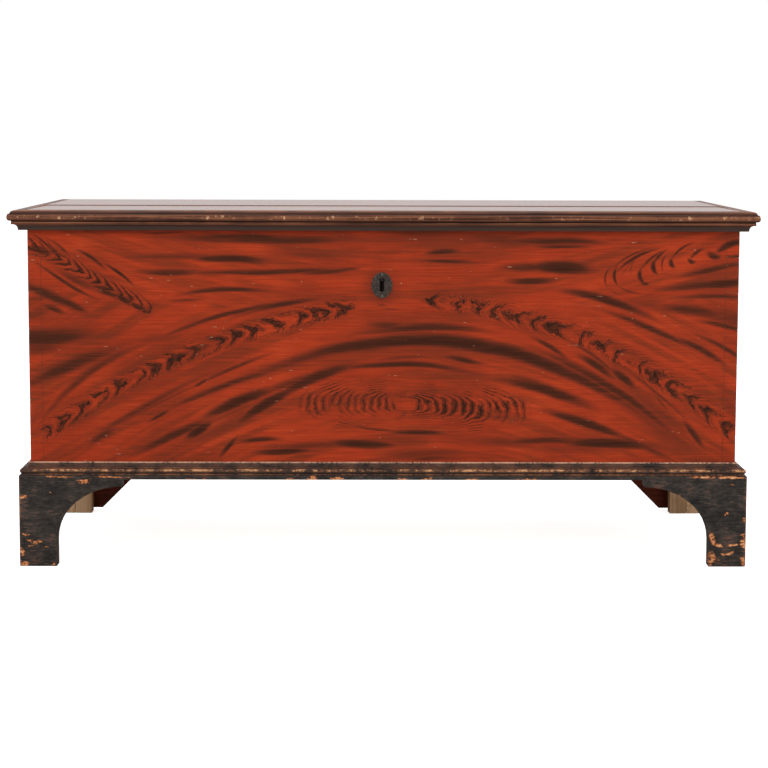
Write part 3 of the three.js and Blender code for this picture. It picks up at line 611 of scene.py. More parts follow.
FRONT_STROKES = (
    # Along the top, and left of the keyhole
    Stroke(-405, 566, -8, 563, -4, 17, 0.75),
    Stroke(-330, 568, -140, 563, -1, 12, 0.8),
    Stroke(-420, 571, -330, 572, 0, 5, 0.6),
    Stroke(-45, 563, 160, 567, 2, 22, 0.35),
    Stroke(110, 570, 290, 551, 2, 20, 0.5),
    Stroke(180, 560, 400, 556, 1, 14, 0.75),
    Stroke(240, 551, 360, 549, 0, 8, 0.7),
    Stroke(370, 561, 415, 562, 0, 8, 0.35),
    Stroke(-440, 530, -250, 531, 2, 12, 0.55),
    Stroke(-340, 530, -185, 523, 1, 14, 0.95),
    Stroke(-230, 536, -40, 531, 2, 18, 0.4),
    Stroke(-430, 506, -300, 508, -2, 12, 0.75),
    Stroke(-350, 506, -60, 511, -3, 10, 0.8),
    Stroke(-160, 505, -30, 517, -5, 9, 0.75),
    Stroke(-362, 464, -175, 472, 9, 9, 0.8),
    Stroke(-370, 456, -305, 459, 1, 6, 0.55),
    Stroke(-412, 378, -120, 459, 16, 9, 0.75),
    Stroke(-250, 432, -90, 462, 6, 11, 0.75),
    Stroke(-430, 385, -340, 396, 3, 14, 0.4),
    # Right of the keyhole
    Stroke(66, 537, 135, 541, 3, 10, 0.85),
    Stroke(52, 525, 165, 523, 1, 8, 0.8),
    Stroke(-30, 541, 60, 541, 0, 10, 0.35),
    Stroke(190, 515, 300, 513, 1, 16, 0.7),
    Stroke(240, 515, 362, 512, 1, 22, 1.0),
    Stroke(200, 490, 298, 491, 0, 13, 0.85),
    # Right end, above the plume
    Stroke(490, 497, 620, 530, -3, 13, 0.75),
    Stroke(540, 508, 630, 526, 0, 8, 0.7),
    Stroke(450, 478, 640, 494, -2, 15, 0.75),
    Stroke(520, 481, 640, 496, -1, 17, 0.9),
    Stroke(490, 462, 640, 463, 3, 10, 0.65),
    Stroke(284, 477, 470, 424, 10, 16, 0.9),
    Stroke(360, 444, 545, 366, 8, 12, 0.75),
    Stroke(455, 450, 600, 428, 2, 20, 0.75),
    Stroke(400, 462, 520, 442, 0, 16, 0.35),
    Stroke(520, 443, 660, 412, 2, 34, 0.55),
    Stroke(530, 424, 640, 401, 2, 11, 0.75),
    # Under the keyhole
    Stroke(-34, 418, 44, 416, -1, 15, 0.65),
    Stroke(-60, 424, 60, 425, 0, 26, 0.25),
    Stroke(-14, 452, 4, 449, -1, 4, 0.45),
    Stroke(-4, 444, 28, 443, -1, 4, 0.4),
    # The great arch, and what runs with it
    Stroke(-305, 290, 528, 198, 143, 26, 0.95),
    Stroke(-395, 258, -150, 350, 6, 12, 0.7),
    Stroke(-60, 398, 200, 402, 12, 15, 0.8),
    Stroke(230, 385, 540, 190, 22, 17, 0.75),
    Stroke(360, 320, 520, 205, 8, 34, 0.45),
    # Left foot of the arch
    Stroke(-336, 303, -182, 371, 3, 8, 0.65),
    Stroke(-330, 305, -295, 325, 0, 7, 0.7),
    Stroke(-320, 250, -170, 310, 5, 20, 0.9),
    Stroke(-230, 288, -90, 340, 3, 15, 0.6),
    Stroke(-300, 235, -190, 290, 5, 26, 0.4),
    Stroke(-448, 183, -280, 260, 2, 17, 0.75),
    Stroke(-345, 215, -290, 250, 1, 17, 0.9),
    Stroke(-258, 240, -140, 312, 5, 19, 0.95),
    Stroke(-200, 282, -30, 350, 11, 21, 0.85),
    Stroke(-110, 333, 180, 330, 16, 11, 0.85),
    Stroke(-20, 353, 90, 358, 4, 8, 0.5),
    Stroke(98, 362, 172, 347, 3, 10, 0.8),
    Stroke(-330, 215, -215, 262, 4, 32, 0.35),
    # Along the bottom
    Stroke(-282, 186, -248, 225, 1, 9, 0.85),
    Stroke(-255, 213, -170, 220, 2, 10, 0.8),
    Stroke(-232, 195, -110, 200, 1, 12, 0.95),
    Stroke(-226, 205, -20, 216, -2, 13, 0.6),
    Stroke(-110, 214, 40, 212, -2, 17, 0.9),
    Stroke(-20, 222, 90, 214, 0, 22, 0.45),
    Stroke(4, 233, 112, 228, 0, 9, 0.85),
    Stroke(-62, 243, 40, 233, -2, 5, 0.6),
    Stroke(-30, 196, 140, 190, 2, 24, 0.5),
    Stroke(40, 186, 120, 186, 0, 10, 0.7),
    Stroke(130, 217, 300, 214, 0, 20, 0.5),
    # Right foot of the arch
    Stroke(180, 326, 372, 268, 8, 21, 0.85),
    Stroke(200, 330, 300, 300, 4, 14, 0.6),
    Stroke(262, 271, 425, 217, 5, 16, 0.9),
    Stroke(380, 234, 500, 182, 3, 10, 0.6),
    Stroke(184, 214, 370, 214, 3, 13, 0.75),
    Stroke(290, 214, 478, 206, 2, 19, 1.0),
    Stroke(240, 206, 420, 202, 0, 22, 0.35),
    Stroke(246, 400, 322, 352, 3, 10, 0.75),
    Stroke(298, 400, 420, 312, 6, 7, 0.6),
    Stroke(326, 368, 400, 320, 4, 15, 0.8),
    Stroke(384, 345, 436, 302, 3, 15, 0.85),
    Stroke(372, 332, 540, 200, 14, 26, 0.45),
    Stroke(395, 352, 530, 240, 8, 7, 0.55),
    Stroke(510, 255, 552, 200, 2, 12, 0.8),
    Stroke(462, 300, 492, 262, 2, 5, 0.55),
    Stroke(492, 398, 590, 342, 4, 12, 0.8),
    Stroke(530, 400, 640, 340, 4, 9, 0.75),
    # Left end
    Stroke(-640, 296, -430, 382, 8, 26, 0.75),
    Stroke(-600, 330, -480, 362, 3, 17, 0.65),
    Stroke(-600, 228, -380, 390, 27, 13, 0.6),
    Stroke(-540, 310, -400, 384, 8, 12, 0.55),
    Stroke(-700, 388, -470, 402, 0, 34, 0.85),
    Stroke(-640, 372, -530, 384, 0, 30, 0.6),
    Stroke(-640, 430, -540, 436, 0, 34, 0.35),
    Stroke(-640, 492, -500, 430, 5, 17, 0.75),
    Stroke(-565, 462, -500, 432, 3, 14, 0.8),
    Stroke(-582, 450, -540, 433, 0, 11, 0.75),
    Stroke(-530, 196, -290, 335, 8, 12, 0.6),
    Stroke(-512, 204, -456, 238, 2, 14, 0.7),
    Stroke(-406, 247, -362, 271, 0, 7, 0.8),
    Stroke(-480, 225, -300, 318, 6, 6, 0.5),
    # Curl at the upper left
    Stroke(-524, 543, -470, 508, 4, 7, 0.85),
    Stroke(-478, 522, -424, 480, 4, 6, 0.9),
    Stroke(-594, 524, -480, 456, -5, 7, 0.75),
    Stroke(-562, 512, -478, 474, -3, 13, 0.6),
    Stroke(-500, 478, -425, 460, -2, 7, 0.6),
    Stroke(-598, 572, -556, 534, 3, 5, 0.75),
    Stroke(-606, 548, -562, 540, 3, 8, 0.7),
    Stroke(-578, 566, -528, 518, 6, 5, 0.6),
    Stroke(-610, 578, -350, 577, 0, 14, 0.3),
    Stroke(-604, 550, -556, 537, -3, 11, 0.85),
    Stroke(-574, 567, -526, 524, -9, 5, 0.7),
    Stroke(-494, 489, -444, 462, -4, 10, 0.8),
    Stroke(-455, 471, -426, 451, -3, 11, 0.95),
    Stroke(-434, 455, -402, 442, -3, 10, 0.95),
    # Curl at the upper right
    Stroke(384, 475, 392, 521, 11, 4, 0.65),
    Stroke(381, 505, 467, 551, 9, 4, 0.65),
    Stroke(400, 483, 399, 519, 7, 6, 0.9),
    Stroke(393, 503, 475, 549, 9, 6, 0.85),
    Stroke(404, 496, 462, 546, 10, 4, 0.45),
    Stroke(399, 485, 442, 472, -4, 4, 0.6),
    Stroke(386, 476, 410, 469, -2, 4, 0.4),
    Stroke(448, 485, 441, 519, 8, 8, 0.85),
    Stroke(434, 505, 483, 547, 6, 5, 0.7),
    Stroke(437, 491, 455, 489, -2, 6, 0.7),
    Stroke(422, 500, 432, 532, 5, 4, 0.45),
    Stroke(467, 502, 463, 531, 6, 9, 0.95),
    Stroke(458, 520, 484, 547, 3, 6, 0.75),
    Stroke(477, 507, 486, 541, 7, 4, 0.6),
    Stroke(497, 513, 489, 533, 4, 9, 0.85),
    Stroke(486, 522, 533, 558, 8, 5, 0.75),
    Stroke(516, 530, 532, 524, -3, 8, 0.85),
    Stroke(519, 526, 549, 549, 4, 7, 0.7),
    Stroke(548, 542, 577, 533, -3, 13, 0.8),
    Stroke(562, 536, 626, 561, 9, 13, 0.95),
    Stroke(575, 534, 626, 541, -2, 6, 0.7),
    # Faint smears in the lower corners
    Stroke(-610, 232, -560, 300, 6, 22, 0.3),
    Stroke(560, 340, 640, 200, 0, 24, 0.25),
)

FRONT_PLUMES = (
    Plume(Stroke(-614, 558, -392, 437, 2, 19, 0.9), 20, 26, 60),
    Plume(Stroke(-590, 222, -38, 449, 36, 21, 0.95), 37, 34, 70),
    Plume(Stroke(54, 458, 618, 213, 55, 21, 0.9), 37, 38, -74),
)

FRONT_EYE = Eye(38, 279, 188, 212, 46, 14.0, 0.055, 21, 1.0)

SIDE_STROKES = (
    Stroke(-240, 562, 60, 566, -4, 17, 0.8),
    Stroke(-120, 536, 180, 530, 3, 13, 0.7),
    Stroke(40, 556, 290, 548, 2, 12, 0.6),
    Stroke(-260, 500, -60, 506, 6, 11, 0.7),
    Stroke(60, 500, 290, 490, 4, 18, 0.9),
    Stroke(-235, 205, 240, 230, 150, 21, 0.9),
    Stroke(-210, 190, 190, 205, 90, 17, 0.85),
    Stroke(-150, 185, 120, 190, 50, 12, 0.8),
    Stroke(-290, 330, -120, 440, 12, 17, 0.75),
    Stroke(130, 430, 285, 330, 12, 17, 0.8),
    Stroke(170, 470, 290, 400, 8, 11, 0.6),
    Stroke(-260, 470, -190, 430, 0, 12, 0.7),
    Stroke(-260, 270, -200, 330, 4, 12, 0.6),
    Stroke(215, 190, 260, 290, -6, 12, 0.6),
    Stroke(-60, 475, 80, 480, 5, 9, 0.5),
)

SIDE_PLUMES = (Plume(Stroke(-240, 245, 255, 255, 165, 19, 0.95), 37, 34, 60),)

SIDE_EYE = Eye(12, 262, 90, 95, 30, 7.5, 0.0, 15, 0.9)

FRONT_CHIPS = (
    # Left foot
    Stroke(-524, 148, -498, 152, -2, 8, 0.65),
    Stroke(-584, 156, -528, 155, 0, 3, 0.7),
    Stroke(-505, 156, -432, 155, 0, 3, 0.5),
    Stroke(-625, 118, -608, 121, 1, 6, 0.7),
    Stroke(-626, 25, -614, 27, 0, 13, 0.9),
    Stroke(-628, 3, -608, 5, 0, 8, 1.0),
    Stroke(-571, 3, -560, 5, 0, 5, 0.8),
    Stroke(-614, 47, -582, 43, -1, 4, 0.8),
    Stroke(-604, 42, -590, 40, -1, 3, 0.6),
    Stroke(-589, 32, -573, 33, 1, 3, 0.6),
    Stroke(-619, 57, -603, 54, -1, 4, 0.7),
    Stroke(-610, 36, -598, 36, 0, 3, 0.5),
    Stroke(-572, 130, -560, 122, 0, 2, 0.5),
    # Right foot
    Stroke(561, 46, 571, 49, 0, 22, 1.0),
    Stroke(567, 38, 585, 36, 1, 5, 0.95),
    Stroke(592, 37, 610, 39, 1, 5, 0.95),
    Stroke(612, 44, 626, 45, 0, 24, 1.0),
    Stroke(579, 25, 590, 21, -1, 4, 0.95),
    Stroke(588, 21, 603, 28, -1, 4, 0.95),
    Stroke(572, 10, 581, 10, 0, 4, 0.8),
    Stroke(558, 14, 572, 15, 0, 24, 0.8),
    Stroke(614, 10, 626, 12, 0, 20, 0.6),
    Stroke(583, 92, 592, 94, 0, 6, 0.85),
    Stroke(616, 82, 626, 83, 0, 9, 0.8),
    Stroke(593, 145, 601, 144, 0, 4, 0.7),
    Stroke(500, 122, 512, 121, 1, 6, 1.0),
    Stroke(448, 137, 520, 112, 3, 4, 0.6),
    # Along the top edge
    Stroke(-168, 151, -145, 152, 0, 6, 0.7),
    Stroke(-130, 153, -112, 152, 1, 8, 0.95),
    Stroke(-92, 152, -68, 153, 0, 7, 0.85),
    Stroke(20, 152, 42, 151, 0, 5, 0.8),
    Stroke(64, 151, 86, 153, 0, 7, 0.9),
    Stroke(132, 150, 170, 151, 0, 5, 0.8),
    Stroke(-340, 151, -300, 152, 0, 5, 0.7),
    Stroke(230, 152, 275, 151, 0, 5, 0.7),
    Stroke(523, 156, 575, 156, 0, 3.5, 0.9),
    Stroke(565, 156, 625, 155, 0, 4, 0.85),
)

SIDE_CHIPS = (
    Stroke(-262, 30, -248, 33, 0, 24, 0.95),
    Stroke(-262, 8, -240, 4, 0, 9, 0.9),
    Stroke(-230, 40, -205, 44, 1, 5, 0.8),
    Stroke(-250, 118, -236, 121, 0, 7, 0.8),
    Stroke(-120, 155, -40, 155, 0, 4, 0.8),
    Stroke(90, 155, 190, 156, 0, 4, 0.8),
    Stroke(228, 42, 262, 38, -1, 6, 0.9),
    Stroke(244, 6, 268, 5, 0, 10, 0.9),
    Stroke(214, 96, 226, 98, 0, 6, 0.7),
)


@dataclass(frozen=True)
class Figure:
    """What the grainer drew on one face.

    The streaks between the strokes arch over centre, and sag over it above the level divide. There
    are as many of them to a metre as fine says.
    """

    strokes: tuple[Stroke, ...]
    plumes: tuple[Plume, ...]
    eye: Eye | None
    centre: float
    arching: float
    sagging: float
    divide: float
    fine: float = 42.0
    eye_margin: float = 10.0

    def within(self, low: float, high: float) -> "Figure":
        """Keeps only what reaches a band of the face.

        Args:
            low: Where the band starts, in millimetres.
            high: Where it ends.

        Returns:
            The smaller figure.
        """
        strokes = tuple(s for s in self.strokes if s.reaches(low, high, BEND / 2))
        plumes = tuple(p for p in self.plumes if p.axis.reaches(low, high, p.spread))
        eye = self.eye
        margin = self.eye_margin
        if eye and (eye.x + eye.right + margin < low or eye.x - eye.left - margin > high):
            eye = None
        return replace(self, strokes=strokes, plumes=plumes, eye=eye)

    def streaks(self, sheet: Sheet, across: Wire, up: Wire) -> Wire:
        """Draws streaks that follow the figure.

        Args:
            sheet: The material's nodes.
            across: Position along the face, in metres.
            up: Height, in metres.

        Returns:
            Noise about one half.
        """
        off = across - self.centre
        square = off * off
        curve = square / (square + 1.0)
        long = across * 4.5
        low = sheet.vector(long, curve.times(self.arching, up) * self.fine, 0.0)
        high = sheet.vector(long, curve.times(-self.sagging, up) * self.fine, 5.0)
        share = square.times(-0.12, up).rise(self.divide - 0.03, self.divide + 0.03)
        first, second = (sheet.noise(place, 1.0, 3.0, 0.6) for place in (low, high))
        return first + share * (second - first)

    def draw(self, sheet: Sheet, across: Wire, up: Wire, noises: tuple[Wire, ...]) -> Wire:
        """Draws every stroke, the plumes and the eye.

        Args:
            sheet: The material's nodes.
            across: Position along the face, in metres.
            up: Height, in metres.
            noises: About zero each: slow sway, streaky fringe, drift, shake and curl.

        Returns:
            Darkness from 0 to 1.
        """
        sway, fringe, drift, shake, curl = noises
        bend = sway * BEND
        level, height = across.times(TO_MM, bend), up.times(TO_MM, bend)
        total = self.eye.draw(level, height, drift, shake, curl) if self.eye else sway.blank()
        plume_group, stroke_group = plume_macro(), stroke_macro()
        for plume in self.plumes:
            values = (*plume.axis.frame(), *plume.values(), drift, shake, curl, total)
            total = plume_group.apply(sheet, level, height, *values)
        for stroke in self.strokes:
            values = (*stroke.frame(), stroke.depth, fringe, total)
            total = stroke_group.apply(sheet, level, height, *values)
        return total


@dataclass(frozen=True)
class GrainPaint:
    """Red paint combed with dark glaze, over pine that shows inside the chest."""

    name: str
    front: Figure | None = None
    side: Figure | None = None

    def build(self) -> bpy.types.Material:
        """Makes the material."""
        sheet = Sheet(self.name)
        x, y, _ = sheet.axes
        streak = sheet.stretched((5.0, 5.0, 280.0), 4.0)
        hairs = sheet.stretched((18.0, 18.0, 620.0), 2.0)
        mottle = sheet.noise(sheet.place, 7.0, 4.0, 0.6)
        colour = self.ground(sheet, streak, hairs, mottle)
        if self.front or self.side:
            colour = self.figured(sheet, colour, streak, hairs)
            colour = self.grime_and_keyhole_shade(sheet, colour, mottle)
        scratches = sheet.stretched((60.0, 60.0, 300.0), 1.0).rise(0.77, 0.82)
        marks = sheet.specks(30.0, 0.05, 0.3).most(scratches)
        colour = sheet.mix(marks * 0.45, colour, tint("B98A70"))
        dirt = sheet.noise(sheet.place, 14.0, 3.0).rise(0.35, 0.8)
        bare = sheet.mix(dirt * 0.5, Pine.colour(sheet, Axis.X), tint(PINE_DIRT))
        painted = self.outside(x, y)
        colour = sheet.mix(painted, bare, colour)
        rough = 0.62 - painted * (0.2 - mottle * 0.14)
        return sheet.finish(colour, rough, hairs * 0.5 + streak * 0.3, 0.35 * MM)

    def ground(self, sheet: Sheet, streak: Wire, hairs: Wire, mottle: Wire) -> bpy.types.NodeSocket:
        """Draws the red ground and the thin glaze that veils it in streaks.

        Args:
            sheet: The material's nodes.
            streak: Noise drawn out along the boards.
            hairs: Finer noise of that kind.
            mottle: Coarse noise.

        Returns:
            The ground's colour.
        """
        x, y, z = sheet.axes
        if self.front:
            glaze = self.front.streaks(sheet, x, z)
        elif self.side:
            glaze = self.side.streaks(sheet, y, z)
        else:
            glaze = sheet.stretched((2.4, 2.4, 40.0))
        level = mottle * 0.38 + streak * 0.27 + hairs * 0.35
        red = sheet.ramp(
            level, (0.36, "7E2A14"), (0.46, "923017"), (0.54, "9F3518"), (0.66, "AE401F")
        )
        veil = glaze.rise(0.38, 0.66) * streak.rise(0.28, 0.58)
        return sheet.mix(veil * 0.75, red, tint("602916"))

    def figured(
        self, sheet: Sheet, colour: Colour, streak: Wire, hairs: Wire
    ) -> bpy.types.NodeSocket:
        """Lays the grainer's dark glaze on the front and on the ends.

        Args:
            sheet: The material's nodes.
            colour: The paint so far.
            streak: Noise drawn out along the boards.
            hairs: Finer noise of that kind.

        Returns:
            The colour with its figure.
        """
        x, y, z = sheet.axes
        half = -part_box("case_left")[0].x
        ends = abs(x).rise(half - 0.6 * MM, half - 0.3 * MM)
        sway = sheet.noise(sheet.place, 8.0, 1.0) - 0.5
        fringe = streak * 0.7 - 0.35
        drift = sheet.noise(sheet.place, 30.0, 1.0) - 0.5
        shake = sheet.noise(sheet.place, 85.0, 2.0) - 0.5
        curl = sheet.noise(sheet.place, 210.0, 2.0, 0.6) - 0.5
        noises = (sway, fringe, drift, shake, curl)
        dark = sway.blank()
        if self.front:
            dark = self.front.draw(sheet, x, z, noises) * (1.0 - ends) * self.facing(y)
        if self.side:
            dark = dark.most(self.side.draw(sheet, y, z, noises) * ends)
        dark = dark * (0.78 + hairs.rise(0.34, 0.6) * 0.22)
        shade = sheet.ramp(
            dark, (0.0, "702819"), (0.28, "5B2616"), (0.55, "472012"), (0.85, "2A140B")
        )
        return sheet.mix((dark * 1.95).least(1.0), colour, shade)

    def grime_and_keyhole_shade(self, sheet: Sheet, colour: Colour, mottle: Wire) -> bpy.types.NodeSocket:
        """Darkens the paint with grime about the keyhole and along the dovetails' shoulders, and
        paints shade as a near-black disc at the keyhole.

        Args:
            sheet: The material's nodes.
            colour: The paint so far.
            mottle: Coarse noise.

        Returns:
            The colour with its grime and the painted keyhole shade.
        """
        x, y, z = sheet.axes
        front = self.facing(y)
        low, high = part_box("escutcheon")
        dx = (x - (low.x + high.x) / 2) * 1.15
        dz = z - (low.z + high.z) / 2
        away = (dx * dx + dz * dz) ** 0.5
        near = away.rise(46 * MM, 18 * MM)
        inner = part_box("case_left")[1].x
        shoulder = abs(abs(x) + inner).rise(1.6 * MM, 0.2 * MM)
        soil = near * mottle.rise(0.3, 0.65) * front * 0.6
        colour = sheet.mix(soil.most(shoulder * 0.3), colour, tint("4A2018"))
        # Painted shade: a near-black disc at the keyhole stands for the shadow inside the hole.
        return sheet.mix(away.rise(14.5 * MM, 14 * MM) * front, colour, tint("120C0A"))

    @staticmethod
    def facing(y: Wire) -> Wire:
        """Tells the front of the case from its back."""
        return y.rise(-0.1, -0.2)

    def outside(self, x: Wire, y: Wire) -> Wire:
        """Tells the painted faces from the bare ones.

        Args:
            x: Position along the front.
            y: Position from front to back.

        Returns:
            1 on the outer faces and 0 inside.
        """
        low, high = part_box("case_left")
        edge = 0.4 * MM
        ends = abs(x).rise(-low.x - edge, -low.x - edge / 2)
        front = y.rise(low.y + edge, low.y + edge / 2)
        back = y.rise(high.y - edge, high.y - edge / 2)
        return ends.most(front).most(back)


@dataclass(frozen=True)
class Pine:
    """Bare pine, darkened with age."""

    name: str
    grain: Axis

    @staticmethod
    def colour(sheet: Sheet, grain: Axis) -> bpy.types.NodeSocket:
        """Draws growth rings along the grain and returns their colour.

        Args:
            sheet: The material's nodes.
            grain: The axis that the grain follows.

        Returns:
            The bare wood's colour.
        """
        rings = sheet.grained(grain, 22.0, 22.0, 0.7, 1.0, 0.4)
        lines = (rings * 11.0).zigzag()
        pores = sheet.grained(grain, 420.0, 420.0, 6.0, 2.0, 0.55)
        level = lines * 0.2 + pores * 0.4 + sheet.noise(sheet.place, 5.0, 3.0) * 0.4
        return sheet.ramp(
            level, (0.3, "8C6A4A"), (0.5, "B08E6C"), (0.66, "C4A482"), (0.85, "D2B696")
        )

    def build(self) -> bpy.types.Material:
        """Makes the material."""
        sheet = Sheet(self.name)
        colour = self.colour(sheet, self.grain)
        dirt = sheet.noise(sheet.place, 11.0, 4.0, 0.65).rise(0.48, 0.8)
        colour = sheet.mix(dirt * 0.55, colour, tint(PINE_DIRT))
        saw = sheet.stretched((160.0, 160.0, 160.0), 3.0)
        return sheet.finish(colour, 0.72, saw, 0.4 * MM)


@dataclass(frozen=True)
class Wash:
    """A thin red-brown wash that has sunk into the pine, with painted shade that darkens it towards
    the bottom.
    """

    name: str

    def build(self) -> bpy.types.Material:
        """Makes the material."""
        sheet = Sheet(self.name)
        streak = sheet.stretched((9.0, 9.0, 300.0), 3.0, 0.6)
        patch = sheet.noise(sheet.place, 14.0, 4.0, 0.65)
        level = streak * 0.5 + patch * 0.5
        colour = sheet.ramp(
            level, (0.36, "5A2114"), (0.48, "86331D"), (0.58, "A04428"), (0.72, "B06A45")
        )
        # Painted shade: near black towards the bottom of the piece, under the chest.
        painted_shade_low = (sheet.axes[2] + patch * 0.04).rise(0.12, 0.07)
        colour = sheet.mix(painted_shade_low * 0.75, colour, tint("2A1A14"))
        return sheet.finish(colour, 0.7, streak * 0.6 + patch * 0.4, 0.3 * MM)


@dataclass(frozen=True)
class BlackPaint:
    """Old black paint over red, rubbed through to the wood at the edges and chipped, with a painted
    grey highlight along its edges.
    """

    name: str
    grain: Axis = Axis.X
    moulding: bool = False
    chips: tuple[Stroke, ...] = ()

    def build(self) -> bpy.types.Material:
        """Makes the material."""
        sheet = Sheet(self.name)
        x, y, z = sheet.axes
        streak = sheet.grained(self.grain, 300.0, 400.0, 90.0, 4.0, 0.7)
        blotch = sheet.noise(sheet.place, 30.0, 6.0, 0.7)
        level = streak * 0.5 + blotch * 0.5
        ground = sheet.ramp(
            level, (0.36, "1C1A19"), (0.47, "2D2926"), (0.56, "403934"), (0.68, "62564F")
        )
        edge = sheet.edge(4 * MM).rise(0.0, 0.25)
        wear = level + edge * 0.16 + z.rise(0.05, 0.0) * 0.03
        # Painted highlight: the sharp edges are lightened towards grey.
        colour = sheet.mix(edge * 0.35, ground, tint("6F625C"))
        colour = sheet.mix(wear.rise(0.54, 0.68) * 0.8, colour, tint("6A3826"))
        colour = sheet.mix(wear.rise(0.69, 0.75), colour, tint("B9784A"))
        if self.chips:
            worn = self.chipped(sheet, streak)
            colour = sheet.mix(worn.rise(0.12, 0.3), colour, tint("8A4C2C"))
            colour = sheet.mix(worn.rise(0.3, 0.5), colour, tint("BE7C4E"))
            colour = sheet.mix(worn.rise(0.6, 0.9) * 0.7, colour, tint("DCAE86"))
        if self.moulding:
            colour = self.worn_bands(sheet, colour, streak, blotch)
        colour = sheet.mix(sheet.specks(30.0, 0.06, 0.2) * 0.6, colour, tint("8D8580"))
        if not self.moulding:
            colour = sheet.mix(self.inside(x, y), colour, Pine.colour(sheet, self.grain))
        rough = 0.42 + blotch * 0.25
        return sheet.finish(colour, rough, streak * 0.7 + blotch * 0.3, 0.7 * MM)

    def chipped(self, sheet: Sheet, streak: Wire) -> Wire:
        """Finds where the paint has chipped off, from 0 to 1.

        Args:
            sheet: The material's nodes.
            streak: Fine noise along the grain.

        Returns:
            1 in the middle of a chip and 0 where the paint is whole.
        """
        across, up = sheet.axes[self.grain.value] * TO_MM, sheet.axes[2] * TO_MM
        rag = sheet.noise(sheet.place, 230.0, 3.0, 0.7) - 0.5
        fringe = streak.times(1.4, rag * 1.4) - 0.7
        group = stroke_macro()
        total = streak.blank()
        for chip in self.chips:
            total = group.apply(sheet, across, up, *chip.frame(), chip.depth, fringe, total)
        return total.rise(0.0, 0.25) * (total * 0.75 + fringe * 1.3)

    def inside(self, x: Wire, y: Wire) -> Wire:
        """Tells the base's bare inner faces and edges from its painted ones.

        Args:
            x: Position along the front.
            y: Position from front to back.

        Returns:
            1 on the bare faces and 0 on the painted ones.
        """
        side, front = -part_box("base_left")[0].x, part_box("base_front")[1].y
        between = abs(x).rise(side - 1.4 * MM, side - 1.8 * MM)
        return between * y.rise(front - 0.4 * MM, front - 0.2 * MM)

    def worn_bands(
        self, sheet: Sheet, colour: Colour, streak: Wire, blotch: Wire
    ) -> bpy.types.NodeSocket:
        """Rubs the moulding's bead and its fillet down to the wood, and lightens its top arris,
        which is worn wood and painted highlight together.

        Heights are above the moulding's lowest edge.

        Args:
            sheet: The material's nodes.
            colour: The paint so far.
            streak: Fine noise along the grain.
            blotch: Coarse noise.

        Returns:
            The colour with its worn bands and the painted highlight.
        """
        rise = sheet.axes[2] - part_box("base_moulding_front")[0].z
        rag = sheet.noise(sheet.place, 190.0, 3.0, 0.7)
        bead = rise.rise(5.5 * MM, 7.5 * MM) * rise.rise(11 * MM, 9.8 * MM)
        worn = bead * (streak * 0.3 + blotch * 0.6 + rag * 0.5).rise(0.62, 0.8)
        thin = rise.rise(1.0 * MM, 8.0 * MM) * blotch.rise(0.3, 0.6)
        colour = sheet.mix(thin * 0.45, colour, tint("6A4434"))
        colour = sheet.mix(worn * 0.85, colour, tint("A06A44"))
        colour = sheet.mix(worn.rise(0.6, 1.0) * 0.55, colour, tint("DBA878"))
        lip = rise.rise(2.8 * MM, 1.8 * MM) * (blotch * 0.5 + rag * 0.5).rise(0.44, 0.58)
        colour = sheet.mix(lip * 0.8, colour, tint("9A6040"))
        # Pale top arris: partly wear, partly painted highlight.
        top = rise.rise(18.4 * MM, 19.2 * MM)
        return sheet.mix(top * (blotch * 0.6 + rag * 0.7).rise(0.45, 0.75), colour, tint("C79A80"))


